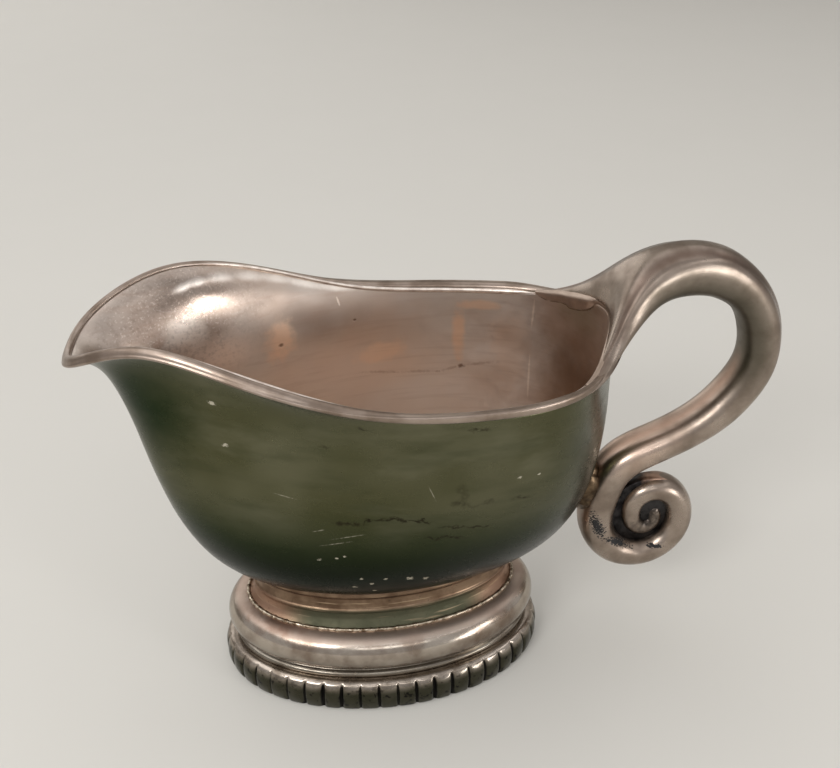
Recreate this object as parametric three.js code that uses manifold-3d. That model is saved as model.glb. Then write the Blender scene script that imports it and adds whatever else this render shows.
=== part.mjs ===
// A sauce jug of worn silver plate: an oval raised bowl with a long spout, a rounded rim wire,
// an oval foot of three rings and a cast scroll handle soldered to the rim and the back.
// Millimetres. +X is towards the handle, the spout points along -X, +Z is up.
import * as THREE from 'three';
import { mergeVertices } from 'three/addons/utils/BufferGeometryUtils.js';
import Module from 'manifold-3d';

// Sizes of the bowl
const mouthLength = 134;
const mouthWidth = 74;
const rimHeight = 96;
const wall = 1.5;
const floorDish = 1.5;

// Sizes of the rim wire
const wireWidth = 2.6;
const wireRise = 2.4;

// Sizes of the foot
const footLength = 90;
const footWidth = 56.6;
const footShift = 0.8;
const borderHeight = 9.3;
const borderDepth = 7;
const mouldingHeight = 12.9;
const mouldingDepth = 8;
const collarHeight = 10.3;
const collarDepth = 3;
const notchDepth = 0.7;
const notchCount = 45;

// Sizes of the handle
const handleReach = 41.5;
const barWidth = 12.6;
const barThickness = 11;
const scrollRadius = 14.9;
const solderSeam = 1.4;

// Clear distance between a piece and the piece that it rests on
const gap = 0.3;

// Turns and steps round each form
const fullTurn = Math.PI * 2;
const rimSteps = 4;
const ovalSteps = 52;
const bowlRows = 12;
const wireSides = 8;
const barSides = 16;
const barSteps = 3;
const notchSteps = 4;

const wasm = await Module();
wasm.setup();

// Small vector helpers on plain arrays
const add = (a, b) => a.map((value, i) => value + b[i]);
const sub = (a, b) => a.map((value, i) => value - b[i]);
const scaled = (a, by) => a.map((value) => value * by);
const mix = (a, b, share) => add(scaled(a, 1 - share), scaled(b, share));
const cross = (a, b) => [
  a[1] * b[2] - a[2] * b[1],
  a[2] * b[0] - a[0] * b[2],
  a[0] * b[1] - a[1] * b[0],
];
const unit = (a) => scaled(a, 1 / Math.hypot(...a));
const smooth = (share) => share * share * (3 - 2 * share);

// A uniform cubic B-spline, drawn towards its controls; an open one ends on its end controls.
function splineAt(controls, place, closed) {
  const last = controls.length - 1;
  const span = closed ? Math.floor(place) : Math.min(Math.floor(place), last - 1);
  const u = place - span;
  const weights = [(1 - u) ** 3, 3 * u ** 3 - 6 * u ** 2 + 4, 3 * (u + u ** 2 - u ** 3) + 1, u ** 3];
  const control = (i) => {
    if (closed) return controls[(i + controls.length) % controls.length];
    if (i < 0) return sub(scaled(controls[0], 2), controls[1]);
    if (i > last) return sub(scaled(controls[last], 2), controls[last - 1]);
    return controls[i];
  };
  const parts = weights.map((weight, k) => scaled(control(span + k - 1), weight / 6));
  return parts.reduce(add);
}

// Triangles between each ring and the next one, for rings of equal length. With a wrap, the last
// ring is joined to the first.
function wallsBetween(rings, wrap) {
  const count = rings[0].length;
  const triangles = [];
  const last = wrap ? rings.length : rings.length - 1;
  for (let i = 0; i < last; i += 1) {
    const low = i * count;
    const high = ((i + 1) % rings.length) * count;
    for (let j = 0; j < count; j += 1) {
      const k = (j + 1) % count;
      triangles.push([low + j, low + k, high + k], [low + j, high + k, high + j]);
    }
  }
  return triangles;
}

// A fan from the last ring, which starts at a given place in the list, to a pole beyond it.
const fanTo = (pole, start, count) =>
  Array.from({ length: count }, (_, j) => [start + j, start + ((j + 1) % count), pole]);

// The solid inside rings that close on themselves.
const ringSolid = (rings) => solidFrom(rings.flat(), wallsBetween(rings, true));

// The solid inside rings that are closed by a pole at each end.
function poledSolid(rings, startPole, endPole) {
  const count = rings[0].length;
  const points = [...rings.flat(), startPole, endPole];
  const end = points.length - 1;
  const start = end - 1;
  const bottom = fanTo(start, 0, count).map((triangle) => triangle.reverse());
  const top = fanTo(end, start - count, count);
  return solidFrom(points, [...wallsBetween(rings, false), ...bottom, ...top]);
}

function solidFrom(points, triangles) {
  const geometry = new THREE.BufferGeometry();
  const corners = triangles.flat().flatMap((i) => points[i]);
  geometry.setAttribute('position', new THREE.Float32BufferAttribute(corners, 3));
  const merged = mergeVertices(geometry);
  const mesh = new wasm.Mesh({
    numProp: 3,
    vertProperties: merged.attributes.position.array,
    triVerts: new Uint32Array(merged.index.array),
  });
  return new wasm.Manifold(mesh);
}

// Rim stations from the back to the tip of the spout, as shares of the mouth's length, of its
// width and of the rim's height. The far side mirrors the near side.
const rimShares = [
  [0.455, 0, 1.09],
  [0.41, 0.19, 1.055],
  [0.345, 0.405, 0.995],
  [0.165, 0.475, 1],
  [-0.04, 0.47, 1.01],
  [-0.238, 0.425, 1.105],
  [-0.392, 0.285, 1.175],
  [-0.53, 0.175, 1.075],
  [-0.547, 0, 1.035],
];
const station = ([along, across, up]) => [along * mouthLength, across * mouthWidth, up * rimHeight];
const mirrored = ([x, y, z]) => [x, -y, z];
const rimHalf = rimShares.map(station);
const rimControls = [...rimHalf, ...rimHalf.slice(1, -1).reverse().map(mirrored)];
const rimCount = rimControls.length * rimSteps;

// The bowl's side: a cubic Bezier arc at each station of the rim, from the seat on the collar
// out along the flank, up to the shoulder and to the rim. Towards the spout the shoulder is
// pinched in and set back at its sides, so the lip flares out of it, and the flank swells a bit.
const seatHeight = borderHeight + gap + mouldingHeight + gap + collarHeight + gap;
const seatShares = { along: 0.764, across: 0.632 };
const flankShares = { along: 0.478, across: 0.415, back: -0.003, pinch: -0.12, setBack: 0 };
const shoulderShares = { along: 0.423, across: 0.487, back: 0.012, pinch: 0.8, setBack: 0.06 };
const riseShares = { flank: 0.085, shoulder: 0.78, tilt: 0.215 };

function bowlArc(turn) {
  const place = turn * rimControls.length;
  const c = Math.cos(turn * fullTurn);
  const s = Math.sin(turn * fullTurn);
  const rim = splineAt(rimControls, place, true);
  const height = rim[2] - seatHeight;
  const frontness = ((1 - c) / 2) ** 2;
  const oval = ({ along, across, back, pinch, setBack }, rise) => [
    (back + along * c + setBack * frontness * s * s) * mouthLength,
    across * (1 - pinch * frontness) * mouthWidth * s,
    seatHeight + rise * height,
  ];
  const seat = [
    (seatShares.along * footLength * c) / 2 - footShift,
    (seatShares.across * footWidth * s) / 2,
    seatHeight,
  ];
  const flank = oval(flankShares, riseShares.flank);
  const shoulder = oval(shoulderShares, riseShares.shoulder - riseShares.tilt * c);
  const upward = unit(sub(rim, shoulder));
  return { seat, flank, shoulder, rim, upward };
}

function bezier(arc, edge, v) {
  const weights = [(1 - v) ** 3, 3 * v * (1 - v) ** 2, 3 * v * v * (1 - v), v ** 3];
  const controls = [arc.seat, arc.flank, arc.shoulder, edge];
  return controls.map((point, k) => scaled(point, weights[k])).reduce(add);
}

// A point on the outside of the bowl, v from the seat to the lip under the rim wire, moved out
// by a distance along the surface's own normal.
const lipDrop = wireRise / 2 + gap;
const sideStep = 0.001;
function bowlPoint(turn, v, out, drop = lipDrop) {
  const at = (aTurn, aV) => {
    const arc = bowlArc(aTurn);
    return bezier(arc, sub(arc.rim, scaled(arc.upward, drop)), aV);
  };
  const point = at(turn, v);
  const low = Math.max(v - sideStep, 0);
  const high = Math.min(v + sideStep, 1);
  const along = sub(at((turn + sideStep) % 1, v), at((turn + 1 - sideStep) % 1, v));
  const normal = unit(cross(along, sub(at(turn, high), at(turn, low))));
  return add(point, scaled(normal, out));
}

// The outside of the bowl's back at a given height, found by halving.
const halvings = 30;
function backAt(height) {
  let low = 0;
  let high = 1;
  for (let i = 0; i < halvings; i += 1) {
    const half = (low + high) / 2;
    if (bowlPoint(0, half, 0)[2] < height) low = half;
    else high = half;
  }
  return bowlPoint(0, low, 0);
}

// Rings round the bowl at rising v.
const turns = Array.from({ length: rimCount }, (_, j) => j / rimCount);
const rowShares = Array.from({ length: bowlRows }, (_, i) => i / (bowlRows - 1));
const bowlRings = (out, top, drop) =>
  rowShares.map((share) => turns.map((turn) => bowlPoint(turn, share * top, out, drop)));

// The floor sinks in a shallow dish from the lowest ring to its middle.
const floorShares = [0.35, 0.7];
const floorMiddle = (out) => [-footShift, 0, seatHeight - floorDish - out];
function floorRings(seatRing, out) {
  return floorShares.map((share) => {
    const sag = floorDish * (share - share * share);
    return seatRing.map((point) => sub(mix(floorMiddle(out), point, share), [0, 0, sag]));
  });
}

// The shell of the bowl, grown on all sides by a distance where clearance is wanted.
function bowlShell(grown) {
  const outside = bowlRings(grown, 1, lipDrop - grown);
  const inside = bowlRings(-wall - grown, 1, lipDrop - grown);
  const outer = [...floorRings(outside[0], grown), ...outside];
  const inner = [...floorRings(inside[0], -wall - grown), ...inside];
  return poledSolid([...outer, ...inner.reverse()], floorMiddle(grown), floorMiddle(-wall - grown));
}

// The bowl filled in and grown by a distance, up to just under the rim, for cutting clearance.
const grownTopShare = 0.9;
function bowlGrown(out) {
  const rings = bowlRings(out, grownTopShare);
  const centre = scaled(rings[rings.length - 1].reduce(add), 1 / rimCount);
  return poledSolid(rings, floorMiddle(out), centre);
}

// The rim wire lies on the lip and runs from one tongue of the handle round the spout to the
// other. Its section is an oval: width across the wall, rise along it.
const tongueTurn = 1 / 8;
const wireStart = tongueTurn + gap / mouthLength;
function rimWire() {
  const rings = [];
  const centres = [];
  const count = Math.round(rimCount * (1 - 2 * tongueTurn));
  for (let i = 0; i <= count; i += 1) {
    const turn = wireStart + ((1 - 2 * wireStart) * i) / count;
    const { rim, upward } = bowlArc(turn);
    const along = sub(bowlArc(turn + sideStep).rim, bowlArc(turn - sideStep).rim);
    const outward = unit(cross(along, upward));
    const wallMiddle = scaled(outward, -wall / 2);
    const centre = add(rim, wallMiddle);
    const ring = Array.from({ length: wireSides }, (_, k) => {
      const angle = (k / wireSides) * fullTurn;
      const across = scaled(outward, (Math.cos(angle) * wireWidth) / 2);
      return add(centre, add(across, scaled(upward, (Math.sin(angle) * -wireRise) / 2)));
    });
    rings.push(ring);
    centres.push(centre);
  }
  return poledSolid(rings, centres[0], centres[count]);
}

// Oval rings of the foot: a profile of inset and height shares carried round an ellipse.
const ovalPoint = (turn, inset, z) => [
  (footLength / 2 - inset) * Math.cos(turn * fullTurn) - footShift,
  (footWidth / 2 - inset) * Math.sin(turn * fullTurn),
  z,
];
const evenTurns = Array.from({ length: ovalSteps }, (_, j) => j / ovalSteps);

function ovalRing(profileShares, inset, depth, z, height) {
  const rings = profileShares.map(([inShare, upShare]) =>
    evenTurns.map((turn) => ovalPoint(turn, inset + inShare * depth, z + upShare * height)),
  );
  return ringSolid(rings);
}

// Turns that divide the outline of the foot into equal lengths, so the notches keep their pitch
// round the tighter ends of the oval.
function equalTurns(count) {
  const fine = count * ovalSteps;
  const lengths = [0];
  for (let i = 0; i < fine; i += 1) {
    const step = sub(ovalPoint((i + 1) / fine, 0, 0), ovalPoint(i / fine, 0, 0));
    lengths.push(lengths[i] + Math.hypot(...step));
  }
  const found = [];
  let i = 0;
  for (let k = 0; k < count; k += 1) {
    const wanted = (lengths[fine] * k) / count;
    while (lengths[i + 1] < wanted) i += 1;
    found.push((i + (wanted - lengths[i]) / (lengths[i + 1] - lengths[i])) / fine);
  }
  return found;
}

// The border: a rounded ring whose outside is cut by upright V notches. The third number of a
// row is the share of the notch's depth that the row takes.
const borderShares = [
  [0.17, 0, 0.5],
  [0.03, 0.2, 1],
  [0, 0.5, 1],
  [0.06, 0.8, 1],
  [0.17, 0.94, 0.8],
  [0.33, 1, 0],
  [1, 1, 0],
  [1, 0, 0],
];
function footBorder() {
  const places = equalTurns(notchCount * notchSteps);
  const rings = borderShares.map(([inShare, upShare, cut]) =>
    places.map((turn, j) => {
      const notch = j % notchSteps === 0 ? notchDepth * cut : 0;
      return ovalPoint(turn, inShare * borderDepth + notch, upShare * borderHeight);
    }),
  );
  return ringSolid(rings);
}

// The moulding is a hollow stamping. Its shares run up the outside over a plain ledge and a bold
// half-round, across the flat top that carries the collar, and back down the inside.
const mouldingInset = 3.4;
const mouldingShares = [
  [0, 0],
  [0, 0.08],
  [0.15, 0.15],
  [0, 0.22],
  [-0.17, 0.4],
  [-0.2, 0.57],
  [-0.1, 0.76],
  [0.11, 0.9],
  [0.37, 0.98],
  [0.57, 1],
  [1, 1],
  [1, 0.88],
  [0.6, 0.87],
  [0.28, 0.79],
  [0.07, 0.66],
  [0.01, 0.52],
  [0.06, 0.36],
  [0.33, 0.14],
  [0.24, 0],
];
const mouldingFoot = borderHeight + gap;
const footMoulding = () =>
  ovalRing(mouldingShares, mouldingInset, mouldingDepth, mouldingFoot, mouldingHeight);

// The collar: a hollowed neck with one raised line round it, under the bowl.
const collarInset = 8.2;
const collarShares = [
  [0, 0],
  [0.3, 0.1],
  [0.6, 0.32],
  [0.5, 0.42],
  [0.62, 0.52],
  [0.8, 0.75],
  [0.75, 1],
  [1.33, 0.93],
  [1.33, 0],
];
const collarFoot = mouldingFoot + mouldingHeight + gap;
const footCollar = () => ovalRing(collarShares, collarInset, collarDepth, collarFoot, collarHeight);

// The handle's middle line, seen from the side: shares of the reach behind the rim's back and
// of the rim's height, then half thickness and half width as shares of the bar's.
const back = bowlArc(0).rim;
const loopShares = [
  [0, 1.045, 0.48, 2.7],
  [0.01, 1.07, 0.47, 2.1],
  [0.1, 1.12, 0.63, 1.3],
  [0.215, 1.185, 1, 1.1],
  [0.415, 1.19, 1.26, 1.1],
  [0.65, 1.16, 1.14, 1.02],
  [0.86, 1.095, 0.94, 1.02],
  [0.965, 0.995, 0.97, 1],
  [0.99, 0.875, 0.925, 0.98],
  [0.83, 0.765, 0.95, 1],
  [0.67, 0.7, 0.88, 1],
  [0.44, 0.645, 0.86, 0.98],
  [0.13, 0.595, 0.91, 0.98],
];
const padPlaceShare = 0.515;
const padCentre = backAt(padPlaceShare * rimHeight);
const scrollPlace = { out: 1.365, down: 0.773 };
const scrollCentre = [
  padCentre[0] + scrollPlace.out * scrollRadius,
  padCentre[2] - scrollPlace.down * scrollRadius,
];
const scrollShares = [
  [0.4, 1.14],
  [0.52, 1.08],
  [0.64, 1.06],
  [0.76, 0.95],
  [0.88, 0.78],
  [1, 0.66],
  [1.12, 0.66],
  [1.24, 0.64],
  [1.36, 0.5],
  [1.48, 0.34],
  [1.6, 0.34],
  [1.72, 0.36],
  [1.86, 0.28],
  [2.02, 0.14],
];
const scrollSlim = { start: 0.9, end: 0.42 };

function scrollControl([turn, out], i) {
  const share = i / (scrollShares.length - 1);
  const slim = scrollSlim.start + (scrollSlim.end - scrollSlim.start) * share;
  return [
    scrollCentre[0] + out * scrollRadius * Math.cos(turn * fullTurn),
    scrollCentre[1] + out * scrollRadius * Math.sin(turn * fullTurn),
    (slim * barThickness) / 2,
    (smooth(slim) * barWidth) / 2,
  ];
}
const loopControls = loopShares.map(([out, up, thick, wide]) => [
  back[0] + out * handleReach,
  up * rimHeight,
  (thick * barThickness) / 2,
  (wide * barWidth) / 2,
]);
const scrollControls = scrollShares.map(scrollControl);
const handleControls = [...loopControls, ...scrollControls];

// The middle surface of the handle. At the root it lies on the lip as a horseshoe round the back
// of the bowl, and within a few steps it gathers into the round bar.
const rootSpans = 5;
const tongueHold = 0.7;
const tongueThin = 0.5;
const thinning = (share, across) => 1 - tongueThin * across * across * (1 - share);
function middlePoint(place, across) {
  const [x, z, halfThickness, halfWidth] = splineAt(handleControls, place, false);
  const straight = [x, across * halfWidth, z];
  if (place >= rootSpans) return straight;
  const share = place / rootSpans;
  const gathered = smooth(share);
  const arc = bowlArc((across * tongueTurn * (1 - tongueHold * share) + 1) % 1);
  const overhang = halfThickness * thinning(share, across) - wall;
  const outward = scaled(unit([1, across, 0]), overhang * (1 - gathered));
  const drop = (wireRise / 2) * (1 - share) ** 3;
  const lip = add(sub(arc.rim, scaled(arc.upward, drop)), outward);
  return mix(lip, straight, gathered);
}

// One section of the handle: a rounded oblong at the root, nearly round along the bar.
const middleStep = 0.01;
const halfStep = 0.5;
const rootSquareness = 4;
const barSquareness = 2.3;
function handleSection(place, grown) {
  const last = handleControls.length - 1;
  const [, , halfThickness] = splineAt(handleControls, place, false);
  const share = Math.min(place / rootSpans, 1);
  const squareness = rootSquareness + (barSquareness - rootSquareness) * share;
  return Array.from({ length: barSides }, (_, k) => {
    const angle = ((k + halfStep) / barSides) * fullTurn;
    const across = Math.sin(angle);
    const low = Math.max(place - middleStep, 0);
    const high = Math.min(place + middleStep, last);
    const near = Math.max(across - middleStep, -1);
    const far = Math.min(across + middleStep, 1);
    const rise = sub(middlePoint(high, across), middlePoint(low, across));
    const side = sub(middlePoint(place, far), middlePoint(place, near));
    const normal = unit(cross(side, rise));
    const sideways = scaled(unit(side), across * grown);
    const full = (1 - Math.abs(across) ** squareness) ** (1 / squareness);
    const half = full * halfThickness * thinning(share, across) + Math.abs(Math.cos(angle)) * grown;
    const over = scaled(normal, Math.sign(Math.cos(angle)) * half);
    return add(add(middlePoint(place, across), sideways), over);
  });
}

// The skin of the handle. Its foot is a strip across the horseshoe, its tip a pole.
function handleSolid(grown) {
  const last = handleControls.length - 1;
  const count = last * barSteps;
  const places = Array.from({ length: count + 1 }, (_, i) => (i * last) / count);
  const rings = places.map((place) => handleSection(place, grown));
  const points = [...rings.flat(), middlePoint(last, 0)];
  const tip = points.length - 1;
  const half = barSides / 2;
  const partner = (k) => (half - 1 - k + barSides) % barSides;
  const strip = Array.from({ length: half - 1 }, (_, j) => {
    const a = (barSides - half / 2 + j) % barSides;
    const b = (a + 1) % barSides;
    return [
      [a, partner(a), partner(b)],
      [a, partner(b), b],
    ];
  }).flat();
  const tipFan = fanTo(tip, tip - barSides, barSides);
  return solidFrom(points, [...wallsBetween(rings, false), ...strip, ...tipFan]);
}

// The web closes the grooves between the turns of the scroll.
const webShares = { radius: 0.82, thick: 0.3 };
const webSides = 36;
function scrollWeb() {
  const radius = webShares.radius * scrollRadius;
  const place = (turn, out, side) => [
    scrollCentre[0] + out * Math.cos(turn * fullTurn),
    (side * webShares.thick * barWidth) / 2,
    scrollCentre[1] + out * Math.sin(turn * fullTurn),
  ];
  const edge = Array.from({ length: webSides }, (_, i) => i / webSides);
  const rings = [-1, 1].map((side) => edge.map((turn) => place(turn, radius, side)).reverse());
  return poledSolid(rings, place(0, 0, -1), place(0, 0, 1));
}

// The scroll stands off the back of the bowl by the solder seam.
const casting = handleSolid(0).add(scrollWeb());
const handle = casting.subtract(bowlGrown(solderSeam)).subtract(bowlShell(gap));

// Hard solder: a pad that fills the seam and swells out of it above and below. Its shares are
// of the bar's thickness and width and of the rim's height.
const padShares = { thick: 0.5, wide: 0.42, rise: 0.085 };
const padSides = 20;
function solder() {
  const deep = padShares.thick * barThickness;
  const wide = padShares.wide * barWidth;
  const tall = padShares.rise * rimHeight;
  const ball = new THREE.SphereGeometry(tall, padSides, padSides / 2);
  ball.scale(deep / tall, wide / tall, 1);
  ball.translate(padCentre[0] + solderSeam, 0, padCentre[2]);
  const corners = ball.toNonIndexed().getAttribute('position');
  const points = Array.from({ length: corners.count }, (_, i) => [
    corners.getX(i),
    corners.getY(i),
    corners.getZ(i),
  ]);
  const triangles = Array.from({ length: corners.count / 3 }, (_, i) => [3 * i, 3 * i + 1, 3 * i + 2]);
  const cutter = handleSolid(gap).subtract(bowlGrown(solderSeam - gap));
  return solidFrom(points, triangles).subtract(bowlGrown(gap)).subtract(cutter);
}

// Worn silver plate, browner where the base metal shows, and brassy solder.
const plate = { color: 0xa3937f, roughness: 0.3, metalness: 1 };
const dark = { color: 0x8f8272, roughness: 0.38, metalness: 1 };
const brass = { color: 0xb59a63, roughness: 0.4, metalness: 1 };

function meshOf(name, solid, look) {
  const { vertProperties, triVerts, numProp } = solid.getMesh();
  const geometry = new THREE.BufferGeometry();
  geometry.setAttribute('position', new THREE.BufferAttribute(vertProperties, numProp));
  geometry.setIndex(new THREE.BufferAttribute(triVerts, 1));
  const mesh = new THREE.Mesh(geometry, new THREE.MeshStandardMaterial(look));
  mesh.name = name;
  return mesh;
}

const jug = new THREE.Group();
jug.name = 'sauce_jug';
jug.add(
  meshOf('bowl', bowlShell(0), plate),
  meshOf('rim_wire', rimWire(), plate),
  meshOf('foot_collar', footCollar(), plate),
  meshOf('foot_moulding', footMoulding(), plate),
  meshOf('foot_border', footBorder(), dark),
  meshOf('handle', handle, plate),
  meshOf('handle_solder', solder(), brass),
);

// The origin goes to the middle of the bottom of the whole jug.
const bounds = new THREE.Box3().setFromObject(jug);
const middle = bounds.getCenter(new THREE.Vector3());
jug.children.forEach((piece) => piece.geometry.translate(-middle.x, -middle.y, -bounds.min.z));

export default jug;
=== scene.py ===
# %% [markdown]
# # A sauce jug of worn silver plate
#
# The jug is raised from sheet, wired round its mouth, set on a foot of three soldered rings and
# given a cast scroll handle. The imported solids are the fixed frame. Every piece here lies where
# its solid lies and adds what the solids are too coarse for: smooth curves, the groove of the rim,
# the creases of the handle, the filed notches and the finish of metal that has lost its polish.

import bpy
import numpy as np
from mathutils import Matrix, Vector


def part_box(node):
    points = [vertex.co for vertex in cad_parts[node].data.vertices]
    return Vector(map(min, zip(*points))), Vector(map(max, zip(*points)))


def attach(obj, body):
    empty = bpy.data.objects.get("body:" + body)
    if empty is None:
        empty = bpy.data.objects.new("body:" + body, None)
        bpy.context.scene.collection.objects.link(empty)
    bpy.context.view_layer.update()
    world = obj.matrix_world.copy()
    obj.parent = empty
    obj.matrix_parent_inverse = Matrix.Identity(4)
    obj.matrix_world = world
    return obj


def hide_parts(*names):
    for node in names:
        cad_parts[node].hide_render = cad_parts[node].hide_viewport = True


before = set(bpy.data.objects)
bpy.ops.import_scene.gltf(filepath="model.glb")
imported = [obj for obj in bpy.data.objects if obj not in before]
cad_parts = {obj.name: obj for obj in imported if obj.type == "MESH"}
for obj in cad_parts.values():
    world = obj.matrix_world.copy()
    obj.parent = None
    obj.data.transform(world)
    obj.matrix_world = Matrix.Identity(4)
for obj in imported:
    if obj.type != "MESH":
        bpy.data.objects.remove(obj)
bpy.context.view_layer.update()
print("solids:", sorted(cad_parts))

# %% [markdown]
# ## Sizes
#
# A learner can start from a ruler: these are the jug's own sizes in millimetres, and each curve
# below is drawn from them, so that the fine surfaces and the solids share one set of numbers.
# The foot's solid says where the middle of the jug lies along X.

# %% Sizes in millimetres
MILLIMETRE = 0.001
MOUTH_LENGTH, MOUTH_WIDTH, RIM_HEIGHT = 134, 74, 96
WALL, FLOOR_DISH = 1.5, 1.5
WIRE_WIDTH, WIRE_RISE = 2.6, 2.4
FOOT_LENGTH, FOOT_WIDTH, FOOT_SHIFT = 90, 56.6, 0.8
BORDER_HEIGHT, BORDER_DEPTH = 9.3, 7
MOULDING_HEIGHT, MOULDING_DEPTH, MOULDING_INSET = 12.9, 8, 3.4
COLLAR_HEIGHT, COLLAR_DEPTH, COLLAR_INSET = 10.3, 3, 8.2
NOTCH_COUNT = 45
HANDLE_REACH, BAR_WIDTH, BAR_THICKNESS = 41.5, 12.6, 11
SCROLL_RADIUS, SOLDER_SEAM, GAP = 14.9, 1.4, 0.3
MOULDING_FOOT = BORDER_HEIGHT + GAP
COLLAR_FOOT = MOULDING_FOOT + MOULDING_HEIGHT + GAP
SEAT_HEIGHT = COLLAR_FOOT + COLLAR_HEIGHT + GAP
TURN = 2 * np.pi
foot_low, foot_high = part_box("foot_border")
MIDDLE_X = (foot_low.x + foot_high.x) / (2 * MILLIMETRE) + FOOT_SHIFT
print("the jug's own middle is at x =", round(MIDDLE_X, 2), "mm")

# %% [markdown]
# ## From arrays to pieces
#
# Each surface is a stack of closed rings, held in one array of rows, columns and x, y, z.
# Quads join neighbouring rings, and a fan of triangles closes each end on a pole. It could be
# modelled by hand with loops and extrusions, but an array keeps every ring evenly spaced and
# lets a formula move all points at once.

# %% Curves and steps
def unit(v):
    """Each vector divided by its own length."""
    return v / np.linalg.norm(v, axis=-1, keepdims=True)


def spline(controls, place, closed):
    """A uniform cubic B-spline: at place k + u the four controls round k are weighed by the
    cubic basis in u. A closed one wraps, an open one mirrors its end controls."""
    c = np.asarray(controls, float)
    if not closed:
        c = np.concatenate([[2 * c[0] - c[1]], c, [2 * c[-1] - c[-2]]])
    place = np.asarray(place, float)
    span = np.floor(place).astype(int)
    if not closed:
        span = np.minimum(span, len(controls) - 2)
    u = place - span
    weights = [(1 - u) ** 3, 3 * u**3 - 6 * u**2 + 4, 3 * (u + u**2 - u**3) + 1, u**3]
    total = 0
    for k, weight in enumerate(weights):
        index = (span + k - 1) % len(c) if closed else span + k
        total = total + weight[..., None] * c[index] / 6
    return total


def smooth_step(low, high, x):
    """0 below low, 1 above high, and an S curve between."""
    t = np.clip((x - low) / (high - low), 0, 1)
    return t * t * (3 - 2 * t)


def bump(x, centre, width):
    """A bell curve of height 1 at the centre."""
    return np.exp(-(((x - centre) / width) ** 2))


def carried(line, out, up, section):
    """Rings along a line: at each point a section that is given by its steps out and up."""
    return line[:, None] + out[:, None] * section[..., :1] + up[:, None] * section[..., 1:]

# %% A closed mesh from rings
def make_piece(name, rings, poles=(), marks=None):
    """One closed mesh from rings (rows, columns, 3) in millimetres. Two poles close its ends on
    points. With one pole, for the last ring, the first ring is flat and is zipped up side to side.
    Without poles the last ring joins the first. marks are values kept per point."""
    rows, columns, _ = rings.shape
    last = rows - 1 if len(poles) else rows
    i, j = np.meshgrid(np.arange(last), np.arange(columns), indexing="ij")
    after, above = (j + 1) % columns, (i + 1) % rows
    corners = [i * columns + j, i * columns + after, above * columns + after, above * columns + j]
    faces = np.stack(corners, -1).reshape(-1, 4).tolist()
    points = np.concatenate([rings.reshape(-1, 3), np.reshape(poles, (-1, 3))])
    k, top, tip = np.arange(columns), (rows - 1) * columns, len(points) - 1
    if len(poles):
        faces += np.stack([top + k, top + (k + 1) % columns, 0 * k + tip], -1).tolist()
    if len(poles) == 2:
        faces += np.stack([0 * k + tip - 1, (k + 1) % columns, k], -1).tolist()
    if len(poles) == 1:
        side, half = k[: columns // 2 - 1] - columns // 4, columns // 2
        zip_corners = [side % columns, half - 1 - side, half - 2 - side, (side + 1) % columns]
        faces += np.stack(zip_corners, -1).tolist()
    placed = (points + np.array([MIDDLE_X, 0, 0])) * MILLIMETRE
    mesh = bpy.data.meshes.new(name)
    mesh.from_pydata(placed.tolist(), [], faces)
    mesh.polygons.foreach_set("use_smooth", np.ones(len(mesh.polygons), bool))
    for mark, values in (marks or {}).items():
        values = np.ravel(values)
        values = np.append(values, [values[0], values[top]][2 - len(poles) :])
        attribute = mesh.attributes.new(mark, "FLOAT", "POINT")
        attribute.data.foreach_set("value", values.astype(np.float32))
    mesh.update()
    piece = bpy.data.objects.new(name, mesh)
    bpy.context.scene.collection.objects.link(piece)
    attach(piece, "root")
    print(name, "has", len(mesh.polygons), "faces")
    return piece

# %% [markdown]
# ## The camera
#
# The eye stands in front of the near side, a little to the left, and looks down at the jug.
# Its place and lens were found from the outlines of the rim and the foot, so that the render
# lies over the photograph. The view axes are written out: back, right and up.

# %% Camera
IMAGE_WIDTH, FOCAL_PIXELS, SENSOR = 840, 1000, 36
azimuth, elevation, roll = np.radians([-7.5, 31, -0.4])
eye_from_middle = np.array([-17.64, -214.21, 214.91])
level = np.array([np.cos(azimuth), np.sin(azimuth), 0])
ahead = np.array([np.sin(azimuth), -np.cos(azimuth), 0])
back = ahead * np.cos(elevation) + [0, 0, np.sin(elevation)]
upright = np.cross(back, level)
right = level * np.cos(roll) + upright * np.sin(roll)
above = upright * np.cos(roll) - level * np.sin(roll)
eye = (eye_from_middle + [MIDDLE_X, 0, 0]) * MILLIMETRE
camera_data = bpy.data.cameras.new("camera")
camera_data.lens = SENSOR * FOCAL_PIXELS / IMAGE_WIDTH
camera_data.sensor_width = SENSOR
camera_data.clip_start = 0.01
camera = bpy.data.objects.new("camera", camera_data)
turned = np.column_stack([right, above, back])
camera.matrix_world = Matrix.Translation(Vector(eye)) @ Matrix(turned.tolist()).to_4x4()
bpy.context.scene.collection.objects.link(camera)
bpy.context.scene.camera = camera
print("lens", round(camera_data.lens, 2), "mm, eye at", np.round(eye, 3))

# %% [markdown]
# ## The bowl
#
# The real bowl is hammered and spun from one sheet. Here its mouth is one closed curve led by
# a few stations, and each point of the mouth drops to the collar along an arc that bellies
# out and tucks in. A second surface, one wall's thickness inside, makes it a shell, and the
# shallow sunk floor closes both. Very faint waves stand for the hammer: a mirror shows them.

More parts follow.
